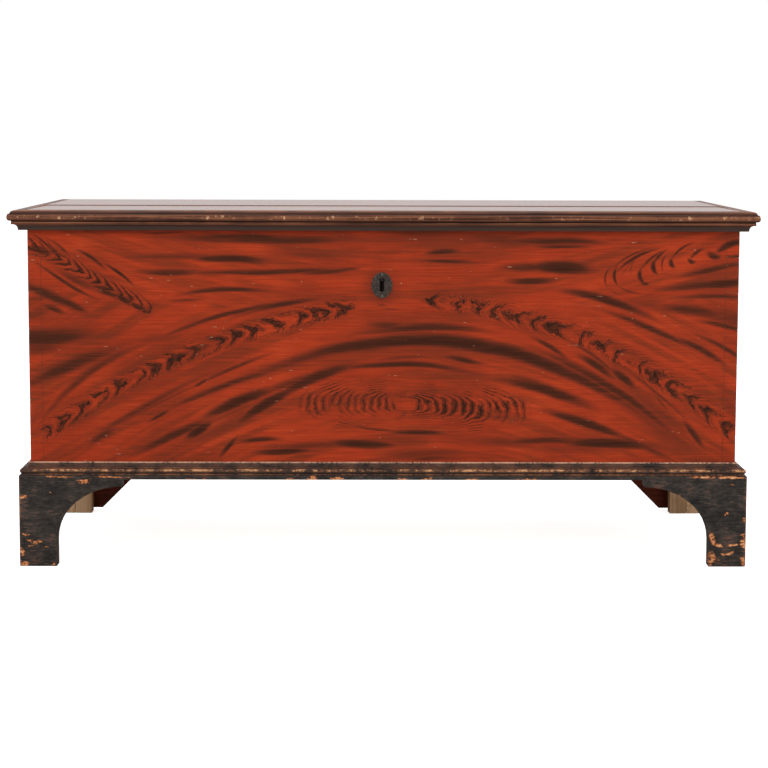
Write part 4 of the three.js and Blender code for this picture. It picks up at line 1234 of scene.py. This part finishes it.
@dataclass(frozen=True)
class BrownPaint:
    """Dark red-brown paint under a thin varnish, on the lid.

    The moulding's quirks lie at these heights, in millimetres. Each rubbed band has its middle,
    half its height and the share of paint that is gone.
    """

    name: str
    grain: Axis = Axis.X
    moulding: bool = False
    quirks: tuple[float, ...] = (15.6, 28.6)
    rubbed: tuple[tuple[float, ...], ...] = ((22.3, 4.6, 0.38), (13.4, 0.9, 0.6), (33.2, 1.1, 0.5))

    def build(self) -> bpy.types.Material:
        """Makes the material."""
        sheet = Sheet(self.name)
        streak = sheet.grained(self.grain, 150.0, 420.0, 5.0, 3.0, 0.6)
        blotch = sheet.noise(sheet.place, 13.0, 4.0, 0.6)
        level = streak * 0.72 + blotch * 0.28
        colour = sheet.ramp(
            level, (0.32, "2E1D18"), (0.47, "4A2D22"), (0.6, "653D2C"), (0.75, "7C4F38")
        )
        if self.moulding:
            coat = 0.0
            colour = self.worn_bands(sheet, colour, streak, blotch)
        else:
            coat = 0.5
            # Partly fading, partly painted sheen: the top boards are lightened towards a pinkish
            # brown.
            faded_and_sheen = blotch.rise(0.25, 0.6) * 0.15 + 0.25
            colour = sheet.mix(faded_and_sheen, colour, tint("8A5244"))
            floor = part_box("lid_board_front")[0].z
            under = sheet.axes[2].rise(floor + 0.4 * MM, floor + 0.2 * MM)
            colour = sheet.mix(under, colour, Pine.colour(sheet, Axis.X))
        rough = 0.34 + blotch * 0.16
        return sheet.finish(colour, rough, streak * 0.6 + blotch * 0.4, 0.3 * MM, coat=coat)

    def worn_bands(
        self, sheet: Sheet, colour: Colour, streak: Wire, blotch: Wire
    ) -> bpy.types.NodeSocket:
        """Paints shade into the quirks and the cove, and rubs the bead and the fillet's arris.

        Heights are above the moulding's lowest edge.

        Args:
            sheet: The material's nodes.
            colour: The paint so far.
            streak: Fine noise along the grain.
            blotch: Coarse noise.

        Returns:
            The colour with its worn bands and painted shade.
        """
        rise = sheet.axes[2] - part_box("lid_moulding_front")[0].z
        # Painted shade: the cove under the thumb is darkened.
        cove = rise.rise(9.2 * MM, 7.6 * MM)
        colour = sheet.mix(cove * 0.8, colour, tint("3B302C"))
        # Painted shade: each quirk is darkened to near black.
        for middle in self.quirks:
            quirk_shade = abs(rise - middle * MM).rise(1.5 * MM, 0.5 * MM)
            colour = sheet.mix(quirk_shade * 0.85, colour, tint("1F1512"))
        chips = (streak * 0.6 + blotch * 0.6).rise(0.5, 0.72)
        for middle, half, share in self.rubbed:
            band = abs(rise - middle * MM).rise(half * MM, half * 0.4 * MM)
            colour = sheet.mix(band * chips * share, colour, tint("A0684A"))
        flecks = sheet.noise(sheet.place, 150.0, 3.0, 0.6).rise(0.58, 0.68) * blotch.rise(0.42, 0.6)
        band = abs(rise - 22.6 * MM).rise(4.2 * MM, 2.5 * MM)
        return sheet.mix(band * flecks * 0.8, colour, tint("C99A74"))


@dataclass(frozen=True)
class Iron:
    """Dark wrought iron with a little rust and rubbed high spots."""

    name: str
    bright: float = 0.0

    def build(self) -> bpy.types.Material:
        """Makes the material."""
        sheet = Sheet(self.name)
        pits = sheet.noise(sheet.place, 420.0, 4.0, 0.7)
        rust = sheet.noise(sheet.place, 90.0, 3.0, 0.6)
        ground = sheet.ramp(
            pits, (0.35, "15110E"), (0.5, "27201B"), (0.62, "41382F"), (0.75, "675B50")
        )
        colour = sheet.mix(rust.rise(0.5, 0.72) * 0.55, ground, tint("5A3626"))
        rubbed = (sheet.edge(1.2 * MM).rise(0.02, 0.3) * 0.6 + self.bright).least(1.0)
        colour = sheet.mix(rubbed, colour, tint("7C736A"))
        metal = 0.2 + rubbed * 0.4
        return sheet.finish(colour, 0.5 + rust * 0.25, pits, 0.3 * MM, metal, gloss=0.3)


class Piece:
    """One piece of the chest, shaped as a bmesh and then dressed."""

    def __init__(self, name: str, *nodes: str) -> None:
        """Starts an empty piece that stands for some CAD nodes.

        Args:
            name: The piece's name.
            nodes: The CAD nodes that it replaces.
        """
        self.name = name
        self.nodes = nodes
        self.mesh = bmesh.new()

    @classmethod
    def worn(cls, node: str) -> "Piece":
        """Starts from a merged copy of a CAD node, with its flat faces whole.

        Args:
            node: The CAD node's name.

        Returns:
            The piece.
        """
        piece = cls(f"{node}_worn", node)
        mesh = piece.mesh
        mesh.from_mesh(frame["nodes"][node].data)
        bmesh.ops.remove_doubles(mesh, verts=mesh.verts, dist=MERGE)
        limit = math.radians(FLAT_DEGREES)
        bmesh.ops.dissolve_limit(mesh, angle_limit=limit, verts=mesh.verts, edges=mesh.edges)
        for face in mesh.faces:
            face.smooth = False
        return piece

    def soften(self, radius: float, segments: int = 3, sharper_than: float = 40.0) -> "Piece":
        """Rounds every outer edge.

        Args:
            radius: How far the rounding reaches from an edge, in metres.
            segments: Steps in the rounding.
            sharper_than: Only edges that turn by more degrees than this are rounded.

        Returns:
            The piece.
        """
        least = math.radians(sharper_than)
        outer = [e for e in self.mesh.edges if e.is_manifold and e.is_convex]
        edges = [e for e in outer if e.calc_face_angle() > least]
        made = bmesh.ops.bevel(
            self.mesh,
            geom=edges,
            offset=radius,
            segments=segments,
            profile=0.5,
            affect="EDGES",
            clamp_overlap=True,
            material=-1,
        )
        for face in made["faces"]:
            face.smooth = True
        return self

    def sink(self, y: float, z: float, depth: float) -> "Piece":
        """Lowers the edge that runs along X at this Y and Z, as a cupped board's does.

        Args:
            y: The edge's Y.
            z: The edge's Z.
            depth: How far it goes down.

        Returns:
            The piece itself.
        """
        for vert in self.mesh.verts:
            if abs(vert.co.y - y) < MM and abs(vert.co.z - z) < MM:
                vert.co.z -= depth
        return self

    def widen(self, centre: Vector, reach: Vector, factor: float) -> "Piece":
        """Wears a hole wider along X, moving only what lies within reach of its centre.

        Args:
            centre: The hole's centre.
            reach: How far from it points move, on each axis.
            factor: How many times wider the hole gets.

        Returns:
            The piece itself.
        """
        for vert in self.mesh.verts:
            off = vert.co - centre
            if all(abs(a) < b for a, b in zip(off, reach)):
                vert.co.x = centre.x + off.x * factor
        return self

    def band(self, *cuts: float) -> "Piece":
        """Cuts the piece across at these places along X, and gives each band its own material."""
        for cut in cuts:
            geom = [*self.mesh.verts, *self.mesh.edges, *self.mesh.faces]
            place = Vector((cut, 0.0, 0.0))
            bmesh.ops.bisect_plane(self.mesh, geom=geom, plane_co=place, plane_no=Vector((1, 0, 0)))
        for face in self.mesh.faces:
            middle = face.calc_center_median().x
            face.material_index = sum(middle > cut for cut in cuts)
        return self

    def dress(
        self,
        material: bpy.types.Material,
        slot: Slot,
        body: Body,
        *more: bpy.types.Material,
        sharp: float | None = None,
    ) -> bpy.types.Object:
        """Turns the mesh into a finished object that rides on its body.

        Args:
            material: What it is covered with.
            slot: The record's slot for it. Not used.
            body: What it rides on.
            more: Materials of the bands after the first.
            sharp: Shade smooth up to this many degrees, where the piece isn't shaded by face.

        Returns:
            The object.
        """
        data = bpy.data.meshes.new(self.name)
        if sharp is not None:
            for face in self.mesh.faces:
                face.smooth = True
        self.mesh.to_mesh(data)
        self.mesh.free()
        if sharp is not None:
            data.set_sharp_from_angle(angle=math.radians(sharp))
        for each in (material, *more):
            data.materials.append(each)
        made = bpy.data.objects.new(self.name, data)
        bpy.context.scene.collection.objects.link(made)
        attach(made, body.value)
        if self.nodes:
            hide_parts(*self.nodes)
        LOG.info("%s: %d faces, rides on %s", self.name, len(data.polygons), body.value)
        return made


def paint_node(node: str, material: bpy.types.Material) -> None:
    """Gives a CAD node that stays in view its finish.

    Args:
        node: The CAD node's name.
        material: Its finish.
    """
    data = frame["nodes"][node].data
    data.materials.clear()
    data.materials.append(material)


class Section:
    """An outline that is drawn point by point, in millimetres."""

    def __init__(self, x: float, z: float) -> None:
        """Starts at a point."""
        self.points = [(x, z)]

    def line(self, *points: tuple[float, float]) -> "Section":
        """Adds straight stretches."""
        self.points.extend(points)
        return self

    def curve(
        self, bend: tuple[float, float], end: tuple[float, float], steps: int = 8
    ) -> "Section":
        """Adds a curve.

        Args:
            bend: The point that it leans to.
            end: Where it ends.
            steps: Straight stretches in it.

        Returns:
            The section.
        """
        x0, z0 = self.points[-1]
        for i in range(1, steps + 1):
            t = i / steps
            a, b, c = (1 - t) ** 2, 2 * t * (1 - t), t**2
            x = a * x0 + b * bend[0] + c * end[0]
            z = a * z0 + b * bend[1] + c * end[1]
            self.points.append((x, z))
        return self


@dataclass
class Moulding:
    """Three mitred strips of one section along the front and the sides.

    A strip is cut into steps along its length. Its proud edges, down to proud_depth, have as many
    knocks as dents says, and dent_reach and dent_depth are their least and largest sizes in
    millimetres. Its faces waver in waves of so many to a metre.
    """

    prefix: str
    section: Section
    floor: float
    material_x: bpy.types.Material
    material_y: bpy.types.Material
    slot: Slot
    body: Body
    step: float = 6 * MM
    dents: int = 26
    dent_reach: tuple[float, float] = (2.5, 7.0)
    dent_depth: tuple[float, float] = (0.3, 1.1)
    proud_depth: float = 6 * MM
    wavering: float = 0.25 * MM
    waves: tuple[float, float] = (9.0, 40.0)
    sharp: float = 38.0
    mitre_gap: float = 0.15 * MM

    def build(self) -> None:
        """Makes the three strips."""
        low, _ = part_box("case_left")
        width = max(x for x, _ in self.section.points) * MM
        half = -low.x + width
        front = low.y - width
        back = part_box(f"{self.prefix}_left")[1].y
        strip = self.sweep("front", Vector((1, 0, 0)), Vector((0, -1, 0)), low.y, -half, half)
        for side in (-1, 1):
            place = Vector((side * (half - self.mitre_gap), front, 0.0))
            self.trim(strip, place, Vector((side, 1, 0)))
        self.close(strip, Vector((0, 1, 0)), self.material_x)
        for name, side in (("left", -1), ("right", 1)):
            out = Vector((side, 0, 0))
            strip = self.sweep(name, Vector((0, 1, 0)), out, side * -low.x, front, back)
            place = Vector((side * half, front + self.mitre_gap, 0.0))
            self.trim(strip, place, Vector((-side, -1, 0)))
            self.close(strip, -out, self.material_y)

    def sweep(
        self, name: str, along: Vector, out: Vector, face: float, start: float, end: float
    ) -> Piece:
        """Pushes the section along a line in short steps.

        Args:
            name: Which strip it is.
            along: The line's direction.
            out: Which way the moulding stands out.
            face: Where the case's face is, along the axis of out.
            start: Where the strip starts.
            end: Where it ends.

        Returns:
            The strip.
        """
        piece = Piece(f"{self.prefix}_{name}_run", f"{self.prefix}_{name}")
        mesh = piece.mesh
        base = Vector((abs(out.x), abs(out.y), 0.0)) * face + along * start
        up = Vector((0.0, 0.0, 1.0))
        corners = [
            base + out * (x * MM) + up * self.floor + up * (z * MM) for x, z in self.section.points
        ]
        cap = mesh.faces.new([mesh.verts.new(corner) for corner in corners])
        pushed = bmesh.ops.extrude_face_region(mesh, geom=[cap], use_keep_orig=True)
        moved = [v for v in pushed["geom"] if isinstance(v, bmesh.types.BMVert)]
        length = end - start
        bmesh.ops.translate(mesh, verts=moved, vec=along * length)
        runs = {e: abs((e.verts[0].co - e.verts[1].co).dot(along)) for e in mesh.edges}
        lines = [edge for edge, run in runs.items() if run > length / 2]
        cuts = int(length / self.step)
        bmesh.ops.subdivide_edges(mesh, edges=lines, cuts=cuts, use_grid_fill=True)
        return piece

    def trim(self, strip: Piece, place: Vector, away: Vector) -> None:
        """Cuts a mitre and closes it.

        Args:
            strip: The strip.
            place: A point on the mitre.
            away: Which side of the mitre is cut off.
        """
        mesh = strip.mesh
        cut = bmesh.ops.bisect_plane(
            mesh,
            geom=[*mesh.verts, *mesh.edges, *mesh.faces],
            plane_co=place,
            plane_no=away.normalized(),
            clear_outer=True,
            dist=MERGE,
        )
        edges = [e for e in cut["geom_cut"] if isinstance(e, bmesh.types.BMEdge)]
        bmesh.ops.edgeloop_fill(mesh, edges=edges)

    def close(self, strip: Piece, inward: Vector, material: bpy.types.Material) -> None:
        """Dents the strip, sets its normals and dresses it.

        The knocks are as many and as deep each run, but not in the same places: the points are
        picked by their order in the mesh, and subdivide_edges gives them no fixed order.

        Args:
            strip: The strip.
            inward: The way back into the chest.
            material: The strip's finish.
        """
        mesh = strip.mesh
        rng = random.Random(strip.name)
        points = [v.co.copy() for v in mesh.verts]
        outer = min(p.dot(inward) for p in points)
        proud = [p for p in points if p.dot(inward) < outer + self.proud_depth]
        for _ in range(self.dents):
            middle = rng.choice(proud)
            reach = rng.uniform(*self.dent_reach) * MM
            depth = rng.uniform(*self.dent_depth) * MM
            for vert in mesh.verts:
                off = (vert.co - middle).length / reach
                if off < 1:
                    vert.co += inward * (depth * (1 - off * off))
        slow, quick = self.waves
        for vert in mesh.verts:
            drift = noise.noise(vert.co * slow) + 0.5 * noise.noise(vert.co * quick)
            vert.co += inward * (self.wavering * (1 + drift))
        bmesh.ops.recalc_face_normals(mesh, faces=mesh.faces)
        strip.dress(material, self.slot, self.body, sharp=self.sharp)


@dataclass
class Base:
    """Bracket base: three boards, two rear brackets, four glue blocks and a moulding."""

    rounding: float = 1.6 * MM
    bracket_rounding: float = 0.8 * MM
    block_rounding: float = 1.2 * MM

    @staticmethod
    def section() -> Section:
        """Draws the moulding's section upwards: fillet, bead, cove and square."""
        section = Section(0.2, 0.0).line((14.4, 0.0), (14.4, 2.1), (10.6, 2.1))
        section.curve((16.4, 2.3), (16.7, 6.9)).curve((16.6, 11.4), (10.5, 11.8))
        section.line((10.4, 12.6)).curve((2.9, 12.8), (2.7, 18.6), 10)
        return section.line((3.3, 18.9), (3.3, 20.7), (3.0, 21.0), (0.2, 21.0))

    def build(self) -> None:
        """Makes and dresses every piece of the base."""
        black_x = BlackPaint("black_paint_across", Axis.X, False, FRONT_CHIPS).build()
        black_y = BlackPaint("black_paint_sideways", Axis.Y, False, SIDE_CHIPS).build()
        pine = Pine("block_pine", Axis.Z).build()
        for name, material in (("front", black_x), ("left", black_y), ("right", black_y)):
            Piece.worn(f"base_{name}").soften(self.rounding).dress(material, Slot.BLACK, Body.CHEST)
        wash = Wash("bracket_wash").build()
        for side in ("left", "right"):
            bracket = Piece.worn(f"rear_bracket_{side}").soften(self.bracket_rounding)
            bracket.dress(wash, Slot.RED, Body.CHEST)
            for end in ("front", "rear"):
                block = Piece.worn(f"glue_block_{end}_{side}").soften(self.block_rounding)
                block.dress(pine, Slot.PINE, Body.CHEST)
        name = "base_moulding"
        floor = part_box("base_moulding_front")[0].z
        across = BlackPaint(f"{name}_across", Axis.X, True).build()
        sideways = BlackPaint(f"{name}_sideways", Axis.Y, True).build()
        Moulding(name, self.section(), floor, across, sideways, Slot.BLACK, Body.CHEST).build()


@dataclass
class Case:
    """Dovetailed case: four boards, two bottom boards and a till.

    The front board is painted in three bands, which meet at the places in bands. A board also
    shows its neighbours' figure on the end grain of its joint, which is tail wide.
    """

    rounding: float = 0.9 * MM
    bottom_rounding: float = 0.6 * MM
    till_rounding: float = 1.0 * MM
    bands: tuple[float, float] = (-150.0, 256.0)
    tail: float = 25.0

    def build(self) -> None:
        """Makes and dresses every board."""
        front = Figure(FRONT_STROKES, FRONT_PLUMES, FRONT_EYE, 60 * MM, 0.85, 0.5, 0.43)
        side = Figure(SIDE_STROKES, SIDE_PLUMES, SIDE_EYE, 12 * MM, 2.4, 0.6, 0.43)
        low, high = (corner * TO_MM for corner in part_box("case_front"))
        cuts = (low.x, *self.bands, high.x)
        near = side.within(low.y, low.y + self.tail)
        paints = []
        for i, (start, end, ends) in enumerate(zip(cuts, cuts[1:], (near, None, near))):
            paints.append(GrainPaint(f"front_grain_{i}", front.within(start, end), ends).build())
        board = Piece.worn("case_front").soften(self.rounding, 2)
        board.band(*(cut * MM for cut in self.bands))
        board.dress(paints[0], Slot.RED, Body.CHEST, *paints[1:])
        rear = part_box("case_back")[1].y * TO_MM
        back = GrainPaint("back_wash", None, side.within(rear - self.tail, rear)).build()
        Piece.worn("case_back").soften(self.rounding, 2).dress(back, Slot.RED, Body.CHEST)
        joints = {"left": (low.x, low.x + self.tail), "right": (high.x - self.tail, high.x)}
        for name, joint in joints.items():
            paint = GrainPaint(f"side_grain_{name}", front.within(*joint), side).build()
            Piece.worn(f"case_{name}").soften(self.rounding, 2).dress(paint, Slot.RED, Body.CHEST)
        self.inner()

    def inner(self) -> None:
        """Dresses the bottom boards and the till."""
        along = Pine("bottom_pine", Axis.X).build()
        across = Pine("till_pine", Axis.Y).build()
        for end in ("front", "rear"):
            board = Piece.worn(f"bottom_board_{end}").soften(self.bottom_rounding)
            board.dress(along, Slot.PINE, Body.CHEST)
        for node in ("till_side", "till_bottom"):
            Piece.worn(node).soften(self.till_rounding).dress(across, Slot.PINE, Body.CHEST)


@dataclass
class Lid:
    """Two boards with a thumb moulding on three sides. The front one has cupped along the seam."""

    cupping: float = 1.0 * MM
    rounding: float = 0.7 * MM
    dents: int = 40

    @staticmethod
    def section() -> Section:
        """Draws the moulding's section upwards: cove, fillet, thumb and rounded top."""
        section = Section(1.7, -12.0).line((13.2, -12.0), (13.8, -11.4), (13.8, -10.0))
        section.curve((14.6, -2.4), (22.4, -1.9), 10)
        section.line((23.4, -1.9), (23.7, -1.4), (23.7, 2.4), (23.0, 3.2))
        section.line((23.2, 3.9), (26.2, 4.3))
        section.curve((30.0, 5.0), (30.0, 10.2)).curve((29.7, 15.6), (26.7, 16.1))
        section.line((25.5, 16.3), (25.3, 17.1)).curve((24.6, 21.0), (17.0, 21.9), 10)
        return section.line((16.2, 22.0), (1.7, 22.0))

    def build(self) -> None:
        """Makes and dresses every piece of the lid."""
        top = BrownPaint("lid_top").build()
        seam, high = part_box("lid_board_rear")[0].y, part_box("lid_board_rear")[1].z
        for end in ("front", "rear"):
            board = Piece.worn(f"lid_board_{end}")
            if end == "front":
                board.sink(seam, high, self.cupping)
            board.soften(self.rounding).dress(top, Slot.BROWN, Body.LID)
        name = "lid_moulding"
        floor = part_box("lid_board_front")[0].z
        across = BrownPaint(f"{name}_across", Axis.X, True).build()
        sideways = BrownPaint(f"{name}_sideways", Axis.Y, True).build()
        args = (name, self.section(), floor, across, sideways, Slot.BROWN, Body.LID)
        Moulding(*args, dents=self.dents).build()


@dataclass
class Ironwork:
    """Hinges, lock, bolt, catch, escutcheon, screws and nails.

    The keyhole is worn so many times wider, within keyhole_reach of the escutcheon's middle.
    """

    leaf_rounding: float = 0.3 * MM
    bolt_rounding: float = 0.4 * MM
    escutcheon_rounding: float = 0.5 * MM
    keyhole: float = 1.45
    keyhole_reach: tuple[float, float, float] = (5.5 * MM, 100.0 * MM, 15.0 * MM)
    sharp: float = 32.0

    def build(self) -> None:
        """Dresses every iron piece."""
        iron = Iron("old_iron").build()
        rubbed = Iron("rubbed_iron", 0.35).build()
        plates = ["lock_plate", "lock_cap", "catch_plate"]
        for side in ("left", "right"):
            plates += [f"hinge_case_leaf_{side}", f"hinge_lid_leaf_{side}"]
        for node in plates:
            body = Body(frame["nodes"][node]["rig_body"])
            plate = Piece.worn(node).soften(self.leaf_rounding, 2)
            plate.dress(iron, Slot.IRON, body, sharp=self.sharp)
        bolt = Piece.worn("lock_bolt").soften(self.bolt_rounding, 2)
        bolt.dress(rubbed, Slot.IRON, Body.BOLT)
        plate = Piece.worn("escutcheon").soften(self.escutcheon_rounding)
        low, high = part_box("escutcheon")
        plate.widen((low + high) / 2, Vector(self.keyhole_reach), self.keyhole)
        plate.dress(iron, Slot.IRON, Body.CHEST, sharp=self.sharp)
        for node in frame["nodes"]:
            if "nail" in node or "pin" in node:
                paint_node(node, rubbed)
            elif "screw" in node or node in ("lock_spring", "lock_ward"):
                paint_node(node, iron)


@dataclass
class Studio:
    """White floor, soft lamps and the photograph's viewpoint."""

    camera_place: tuple[float, float, float] = (-0.0304, -3.6527, 0.7473)
    yaw: float = -0.517
    pitch: float = 5.924
    roll: float = 0.166
    lens: float = 94.21
    shift: float = -0.06
    aim: tuple[float, float, float] = (0.0, 0.0, 0.3)
    floor_half: float = 14.0
    floor_glow: float = 0.85
    sky_light: float = 0.5

    def build(self) -> None:
        """Sets up the camera, the lamps, the floor and the world."""
        self.camera()
        self.floor()
        self.world()
        self.lamp("key", (-1.6, -3.4, 3.0), 2.6, 80.0)
        self.lamp("fill", (2.2, -3.0, 1.8), 2.6, 45.0)
        self.lamp("top", (0.0, 0.8, 3.4), 3.0, 60.0)
        bpy.context.scene.view_settings.view_transform = "Standard"

    def camera(self) -> None:
        """Places the camera."""
        data = bpy.data.cameras.new("camera")
        data.lens = self.lens
        data.sensor_width = 36.0
        data.shift_y = self.shift
        camera = bpy.data.objects.new("camera", data)
        bpy.context.scene.collection.objects.link(camera)
        turn = Matrix.Rotation(math.radians(self.yaw), 4, "Z")
        tilt = Matrix.Rotation(math.radians(90 - self.pitch), 4, "X")
        lean = Matrix.Rotation(math.radians(self.roll), 4, "Z")
        camera.matrix_world = Matrix.Translation(self.camera_place) @ turn @ tilt @ lean
        bpy.context.scene.camera = camera

    def lamp(self, name: str, place: tuple[float, ...], size: float, power: float) -> None:
        """Adds a square soft lamp that points at the chest.

        Args:
            name: Its name.
            place: Where it is.
            size: Length of its side.
            power: In watts.
        """
        data = bpy.data.lights.new(name, "AREA")
        data.size = size
        data.energy = power
        lamp = bpy.data.objects.new(name, data)
        bpy.context.scene.collection.objects.link(lamp)
        lamp.location = place
        way = Vector(self.aim) - Vector(place)
        lamp.rotation_euler = way.to_track_quat("-Z", "Y").to_euler()

    def floor(self) -> None:
        """Adds a white floor that keeps the chest's shadow."""
        mesh = bmesh.new()
        bmesh.ops.create_grid(mesh, x_segments=2, y_segments=2, size=self.floor_half)
        data = bpy.data.meshes.new("floor")
        mesh.to_mesh(data)
        mesh.free()
        floor = bpy.data.objects.new("floor", data)
        bpy.context.scene.collection.objects.link(floor)
        sheet = Sheet("white_floor")
        pale = (0.8, 0.8, 0.8, 1.0)
        matt = sheet.node("ShaderNodeBsdfDiffuse", {}, {"Color": pale}).outputs[0]
        light = {"Color": WHITE, "Strength": self.floor_glow}
        glow = sheet.node("ShaderNodeEmission", {}, light).outputs[0]
        both = sheet.node("ShaderNodeAddShader", {}, {0: matt, 1: glow}).outputs[0]
        path = sheet.node("ShaderNodeLightPath", {}, {}).outputs["Is Camera Ray"]
        seen = sheet.node("ShaderNodeMixShader", {}, {0: path, 1: matt, 2: both}).outputs[0]
        sheet.node("ShaderNodeOutputMaterial", {}, {"Surface": seen})
        data.materials.append(sheet.material)

    def world(self) -> None:
        """Adds a soft sky that the camera sees as white."""
        world = bpy.data.worlds.new("soft_light")
        bpy.context.scene.world = world
        world.use_nodes = True
        world.node_tree.nodes.clear()
        tree = Nodes(world.node_tree)
        path = tree.node("ShaderNodeLightPath", {}, {}).outputs
        seen = Wire(tree, path["Is Camera Ray"]).most(Wire(tree, path["Is Glossy Ray"]))
        dim, bright = (
            tree.node("ShaderNodeBackground", {}, {"Color": WHITE, "Strength": strength}).outputs[0]
            for strength in (self.sky_light, 1.0)
        )
        mixed = tree.node("ShaderNodeMixShader", {}, {0: seen, 1: dim, 2: bright}).outputs[0]
        tree.node("ShaderNodeOutputWorld", {}, {"Surface": mixed})


def main() -> None:
    """Builds the chest and the studio."""
    logging.basicConfig(level=logging.INFO, format="%(message)s")
    for part in (Base(), Case(), Lid(), Ironwork(), Studio()):
        part.build()
        LOG.info("%s done", type(part).__name__)


if __name__ == "__main__":
    main()
